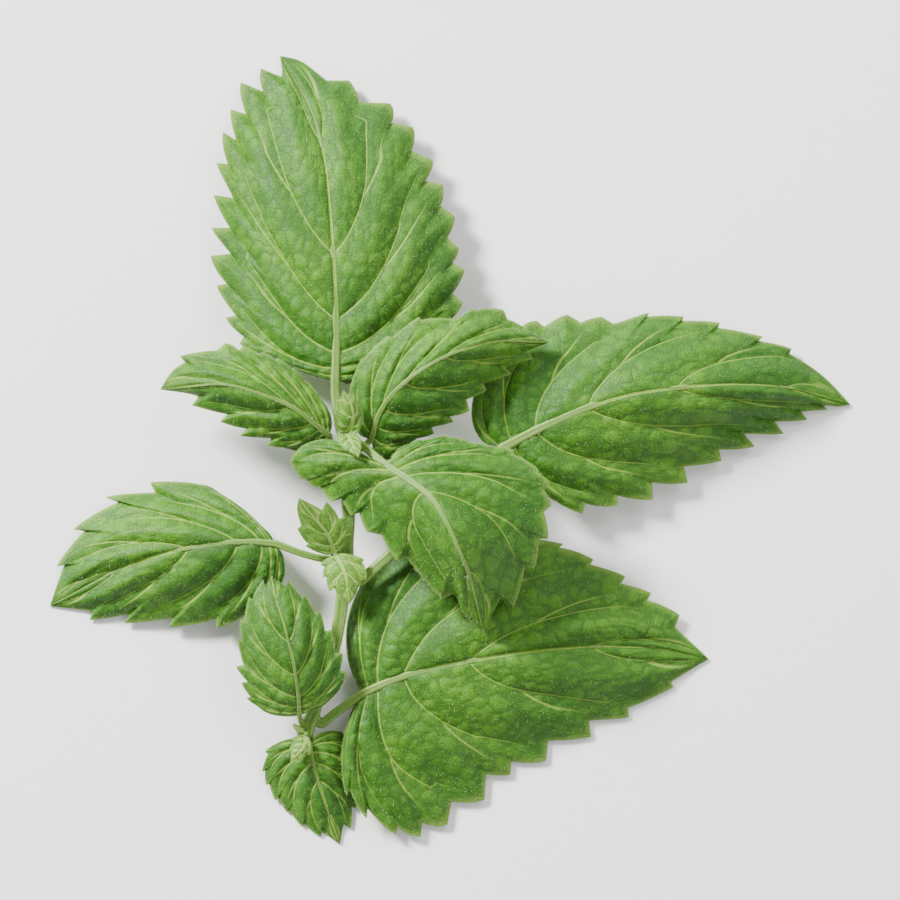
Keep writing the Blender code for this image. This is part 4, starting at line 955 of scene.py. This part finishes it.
# The buds sit where leaves leave the stem: at the top, in the middle and low down.
# Each is a small knob of folded young leaves, with two of them already open.
# Young leaves are thinner, paler and softer than the others.

KNOB_SIDES = 20
KNOB_RINGS = 14
KNOB_OPEN = 0.96
KNOB_FOLDS = 4
KNOB_PLEATS = 0.09
KNOB_NECK = 0.6

# A small leaf has no stalk of its own: its root is sunk in its bud's knob.
SMALL_LEAVES = {
    "top_upright": {
        "midrib": [
            (-20.5, 3.3, 15.7), (-19.5, 5.3, 17.8), (-19.3, 7.3, 18.8), (-19.9, 9.5, 19.4),
            (-21.3, 11.9, 19.6),
        ],
        "left": [(-22.1, 3.5, 16.8), (-22.9, 5.1, 17.2), (-22.7, 7.7, 18.0), (-21.9, 10.1, 18.8)],
        "left_tips": [None, (-23.3, 7.3), (-22.5, 9.9)],
        "right": [(-18.7, 3.3, 16.8), (-17.7, 4.9, 17.2), (-17.9, 7.7, 18.0), (-19.3, 10.3, 19.0)],
        "right_tips": [None, (-17.3, 7.3), (-18.7, 10.2)],
        "start": 1,
        "rise": 1.4,
    },
    "top_bent": {
        "midrib": [(-20.7, 3.3, 15.9), (-20.1, 2.5, 19.2), (-19.3, 0.9, 21.2), (-18.1, -1.5, 21.8)],
        "left": [(-19.1, 3.3, 17.8), (-17.9, 2.3, 19.6), (-17.7, 0.5, 21.1)],
        "left_tips": [None, None],
        "right": [(-22.1, 3.1, 17.6), (-22.5, 2.1, 19.0), (-21.1, 0.3, 20.7)],
        "right_tips": [None, None],
        "start": 1,
        "rise": 1.4,
    },
    "middle_up": {
        "midrib": [
            (-23.1, -20.7, 11.0), (-23.7, -18.5, 12.4), (-24.9, -16.1, 13.8), (-26.9, -13.7, 15.0),
            (-28.7, -11.5, 16.0), (-30.1, -9.5, 16.6),
        ],
        "left": [
            (-25.1, -20.9, 11.2), (-28.3, -18.7, 12.2), (-29.7, -15.1, 13.6), (-30.5, -11.9, 15.2),
        ],
        "left_tips": [(-28.9, -19.1), (-30.5, -15.7), None],
        "right": [
            (-21.3, -19.3, 11.3), (-20.5, -16.5, 12.1), (-22.1, -13.7, 13.2), (-25.5, -11.9, 14.8),
        ],
        "right_tips": [(-19.9, -16.7), (-20.9, -13.3), (-24.7, -10.3)],
        "start": 1,
        "rise": 1.8,
    },
    "middle_down": {
        "midrib": [
            (-22.9, -21.1, 11.2), (-21.9, -22.7, 12.4), (-20.9, -25.1, 13.2), (-20.5, -27.9, 13.0),
            (-20.1, -30.7, 12.2),
        ],
        "left": [
            (-20.9, -20.7, 11.4), (-17.5, -22.5, 12.0), (-17.7, -25.9, 12.3), (-18.3, -27.5, 12.3),
            (-19.1, -29.3, 12.3),
        ],
        "left_tips": [(-17.1, -21.9), (-16.7, -25.7), None, None],
        "right": [
            (-24.3, -21.5, 11.4), (-25.1, -23.3, 11.8), (-24.7, -25.3, 12.1), (-23.1, -27.5, 12.4),
            (-20.9, -29.7, 12.3),
        ],
        "right_tips": [(-25.9, -22.9), (-25.3, -25.5), (-24.1, -28.3), (-21.5, -30.3)],
        "start": 1,
        "rise": 1.8,
    },
    "bottom_point": {
        "midrib": [(-28.9, -56.7, 6.2), (-30.1, -55.8, 7.0), (-31.5, -54.7, 7.6)],
        "left": [(-30.3, -56.6, 6.8), (-31.2, -55.7, 7.3)],
        "left_tips": [None],
        "right": [(-29.3, -55.8, 6.7), (-30.5, -55.0, 7.2)],
        "right_tips": [None],
        "start": 1,
        "rise": 1.4,
    },
    "bottom_toothed": {
        "midrib": [(-28.9, -57.1, 6.2), (-29.1, -58.7, 7.6), (-30.1, -60.3, 8.2), (-31.9, -62.3, 8.2)],
        "left": [(-27.9, -58.3, 6.9), (-28.7, -60.5, 7.5), (-30.7, -61.7, 8.0)],
        "left_tips": [(-28.1, -61.1), (-29.9, -62.1)],
        "right": [(-30.1, -57.1, 6.8), (-31.3, -58.7, 7.2), (-31.7, -60.3, 7.8)],
        "right_tips": [(-31.5, -57.7), (-32.1, -59.9)],
        "start": 1,
        "rise": 1.4,
    },
}

# Small leaves have lower relief and fewer side veins than the others.
SOFTER = {"relief": 0.35, "side_veins": 3}

# Each bud is a knob, given as centre and radius, with its small leaves sunk in it.
BUDS = {
    "bud_top": {"knob": ((-20.9, 3.3, 15.5), 0.85), "leaves": ("top_upright", "top_bent")},
    "shoot_middle": {"knob": ((-22.9, -20.9, 10.4), 0.9), "leaves": ("middle_up", "middle_down")},
    "bud_bottom": {"knob": ((-28.8, -56.9, 6.0), 0.65), "leaves": ("bottom_point", "bottom_toothed")},
}


def bud_knob(name, centre, radius):
    """A knob of folded leaves: a pleated ball, pointed on top, with a neck down into the stem."""
    centre = np.array(centre)
    root = stem_centres[np.linalg.norm(stem_centres - centre, axis=1).argmin()]
    rise = np.linspace(-KNOB_OPEN, KNOB_OPEN, KNOB_RINGS) * math.pi / 2
    turns = np.linspace(0, 2 * math.pi, KNOB_SIDES, endpoint=False)
    pleats = 1 + KNOB_PLEATS * np.cos(KNOB_FOLDS * turns)[None] * np.cos(rise)[:, None]
    width = np.where(rise < 0, np.maximum(np.cos(rise), KNOB_NECK), np.cos(rise))
    out = radius * width[:, None] * pleats
    ring = np.stack([out * np.cos(turns), out * np.sin(turns), np.zeros_like(out)], axis=-1)
    lift = np.clip(np.sin(rise), 0, 1)[:, None] * (0, 0, radius)
    sink = np.clip(-np.sin(rise), 0, 1)[:, None] * (root - centre)
    middles = centre + lift + sink
    points = np.vstack([(ring + middles[:, None]).reshape(-1, 3), root, centre + (0, 0, radius)])
    low, top = KNOB_RINGS * KNOB_SIDES, KNOB_RINGS * KNOB_SIDES + 1
    last = low - KNOB_SIDES
    faces = []
    for side in range(KNOB_SIDES):
        beside = (side + 1) % KNOB_SIDES
        faces.append((low, beside, side))
        faces.append((last + side, last + beside, top))
        for ring in range(0, last, KNOB_SIDES):
            above = ring + KNOB_SIDES
            faces.append((ring + side, ring + beside, above + beside, above + side))
    share = np.linspace(0, 1, KNOB_SIDES, endpoint=False)
    readings = {
        "along": points[:, 2] - points[:, 2].min() + 1,
        "turn": [*np.tile(share, KNOB_RINGS), 0, 0],
    }
    return plain_mesh(name, points, faces, readings)


# Here too the darkest green is painted shade for the furrows, fine net and midrib edges.
young_finish = leaf_finish(
    "young_leaf_blade",
    deep=(0.06, 0.18, 0.01),
    bright=(0.13, 0.29, 0.02),
    young=(0.27, 0.41, 0.08),
    painted_shade=(0.03, 0.09, 0.005),
)
for name, bud in BUDS.items():
    knob = bud_knob(name + "_knob", *bud["knob"])
    knob.data.materials.append(stem_skin)
    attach(knob, "root")
    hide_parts(name)
    for small in bud["leaves"]:
        blade = leaf_blade(small + "_blade", SMALL_LEAVES[small] | SOFTER)
        blade.data.materials.append(young_finish)
        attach(blade, "root")
# Fine pale hairs cover the whole sprig: short ones on the blades, more of them along the margins,
# and a soft down on the stem, the stalks and the buds.
# Each is a thin three-sided point, rooted in the skin.

HAIR_SIDES = 3
LEAST_LEAN = (-0.9, -0.9, 0.0)
MOST_LEAN = (0.9, 0.9, 1.0)
LEAST_HAIR = 0.5
FACES_UP = 0.2
HAIR_SEED = 7
HAIR_SOCKETS = {
    "Geometry": "NodeSocketGeometry",
    "Thickly": "NodeSocketFloat",
    "At the edge": "NodeSocketFloat",
    "Length": "NodeSocketFloat",
    "Width": "NodeSocketFloat",
    "Material": "NodeSocketMaterial",
}

# On each kind of bed: hairs for each square millimetre, how many times more grow at the margin,
# and a hair's greatest length and its half width, in millimetres.
HAIRS = {
    "stem": (5.0, 0.0, 0.75, 0.022),
    "blade": (1.6, 5.0, 0.5, 0.02),
    "stalk": (4.0, 0.0, 0.6, 0.02),
    "knob": (5.0, 0.0, 0.45, 0.02),
    "young blade": (3.0, 3.0, 0.4, 0.018),
}


def hair_tree():
    """Geometry Nodes that grow hairs all over a mesh, with its inputs in metres and square metres."""
    tree = bpy.data.node_groups.new("hairs", "GeometryNodeTree")
    for name, kind in HAIR_SOCKETS.items():
        tree.interface.new_socket(name, in_out="INPUT", socket_type=kind)
    tree.interface.new_socket("Geometry", in_out="OUTPUT", socket_type="NodeSocketGeometry")
    add = Nodes(tree).node
    given = {name: add("NodeGroupInput", {}, {}, name) for name in HAIR_SOCKETS}

    fringe = {"Name": "fringe"}
    edge = add("GeometryNodeInputNamedAttribute", {"data_type": "FLOAT"}, fringe, "Attribute")
    thickly = given["Thickly"] * (edge * given["At the edge"]) + given["Thickly"]
    height = add("ShaderNodeSeparateXYZ", {}, {0: add("GeometryNodeInputPosition", {}, {})}, "Z")
    facing = add("ShaderNodeSeparateXYZ", {}, {0: add("GeometryNodeInputNormal", {}, {})}, "Z")
    free = (height > given["Length"]).larger(facing > FACES_UP)
    sockets = {"Mesh": given["Geometry"], "Selection": free, "Density": thickly, "Seed": HAIR_SEED}
    roots = add("GeometryNodeDistributePointsOnFaces", {}, sockets, "Points")

    sockets = {"Vertices": HAIR_SIDES, "Radius Bottom": given["Width"], "Depth": given["Length"]}
    cone = add("GeometryNodeMeshCone", {"fill_type": "NONE"}, sockets, "Mesh")
    sockets = {"Vector": roots.other("Normal")}
    standing = add("FunctionNodeAlignRotationToVector", {"axis": "Z"}, sockets)
    sockets = {0: LEAST_LEAN, 1: MOST_LEAN, "Seed": HAIR_SEED}
    lean = add("FunctionNodeRandomValue", {"data_type": "FLOAT_VECTOR"}, sockets)
    sockets = {"Rotation": standing, "Rotate By": lean}
    turned = add("FunctionNodeRotateRotation", {"rotation_space": "LOCAL"}, sockets)
    grown = add("FunctionNodeRandomValue", {}, {2: LEAST_HAIR, 3: 1.0, "Seed": HAIR_SEED + 1}, 1)
    sockets = {"Points": roots, "Instance": cone, "Rotation": turned, "Scale": grown}
    hairs = add("GeometryNodeInstanceOnPoints", {}, sockets)
    real = add("GeometryNodeRealizeInstances", {}, {"Geometry": hairs})
    dressed = add("GeometryNodeSetMaterial", {}, {"Geometry": real, "Material": given["Material"]})
    add("NodeGroupOutput", {}, {"Geometry": dressed})
    return tree


HAIR_COLOURS = ((0.35, 0.46, 0.20), (0.62, 0.70, 0.45))
HAIR_MOTTLE = 1.3
HAIR_ROUGH = 0.42


def hair_finish():
    """Clear pale hairs, a little brighter at random."""
    finish = Finish("fine_hair")
    shade = finish.mottle(finish.place(), HAIR_MOTTLE)
    finish.set(Base_Color=finish.mix(shade, *HAIR_COLOURS), Roughness=HAIR_ROUGH)
    return finish.material


hairs = hair_tree()
hair_skin = hair_finish()
hair_inputs = {
    item.name: item.identifier for item in hairs.interface.items_tree if item.in_out == "INPUT"
}


def grow_hairs(name, skin, kind):
    """Hairs all over one piece, as a plain mesh."""
    thickly, at_edge, length, width = HAIRS[kind]
    amounts = {
        "Thickly": thickly / MM**2,
        "At the edge": at_edge,
        "Length": length * MM,
        "Width": width * MM,
        "Material": hair_skin,
    }
    bed = placed(name + "_bed", bpy.data.objects[skin].data)
    growth = bed.modifiers.new("hairs", "NODES")
    growth.node_group = hairs
    for socket, amount in amounts.items():
        growth[hair_inputs[socket]] = amount
    grown = bed.evaluated_get(bpy.context.evaluated_depsgraph_get())
    mesh = bpy.data.meshes.new_from_object(grown)
    bpy.data.objects.remove(bed)
    made = placed(name, mesh)
    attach(made, "root")


grow_hairs("stem_hairs", "stem_shoot", "stem")
for name in LEAVES:
    grow_hairs(name + "_hairs", name + "_blade", "blade")
    grow_hairs(name + "_down", name + "_stalk", "stalk")
for name, bud in BUDS.items():
    grow_hairs(name + "_down", name + "_knob", "knob")
    for small in bud["leaves"]:
        grow_hairs(small + "_hairs", small + "_blade", "young blade")


# The studio is a plain pale floor that the sprig lies on, with soft light from above and to one side.
# The camera looks straight down through a long lens, so the leaves keep their drawn proportions.

FLOOR_SIZE = 4.0
FLOOR_COLOUR = (0.90, 0.90, 0.89, 1)
FLOOR_ROUGH = 0.9
ROOM_LIGHT = 0.45
VIEW_WIDTH = 0.18
VIEW_HEIGHT = 2.5
SHARP_LEVEL = 0.008
SENSOR = 36.0
LENS_REACH = 10

edge = FLOOR_SIZE / 2
floor_mesh = bpy.data.meshes.new("floor")
corners = [(-edge, -edge, 0), (edge, -edge, 0), (edge, edge, 0), (-edge, edge, 0)]
floor_mesh.from_pydata(corners, [], [(0, 1, 2, 3)])
floor = placed("floor", floor_mesh)
paper = Finish("pale_floor")
paper.set(Base_Color=FLOOR_COLOUR, Roughness=FLOOR_ROUGH)
floor.data.materials.append(paper.material)

# Each lamp: where it stands, how wide it is, and its power in watts.
LAMPS = {
    "key_light": ((-0.8, 0.75, 0.7), 0.3, 62.0),
    "fill_light": ((0.8, -0.5, 0.9), 1.2, 8.0),
    "side_light": ((0.6, 1.0, 1.1), 0.9, 14.0),
}
for name, (spot, width, power) in LAMPS.items():
    lamp = bpy.data.lights.new(name, "AREA")
    lamp.size = width
    lamp.energy = power
    light = placed(name, lamp)
    light.location = spot
    light.rotation_euler = (-Vector(spot)).to_track_quat("-Z", "Y").to_euler()

world = bpy.data.worlds.new("studio")
world.use_nodes = True
backdrop = world.node_tree.nodes["Background"]
backdrop.inputs["Color"].default_value = (1, 1, 1, 1)
backdrop.inputs["Strength"].default_value = ROOM_LIGHT
bpy.context.scene.world = world

lens = bpy.data.cameras.new("camera")
lens.sensor_width = SENSOR
lens.lens = SENSOR * VIEW_HEIGHT / VIEW_WIDTH
lens.clip_end = LENS_REACH
camera = placed("camera", lens)
camera.location = (0, 0, VIEW_HEIGHT + SHARP_LEVEL)
bpy.context.scene.camera = camera
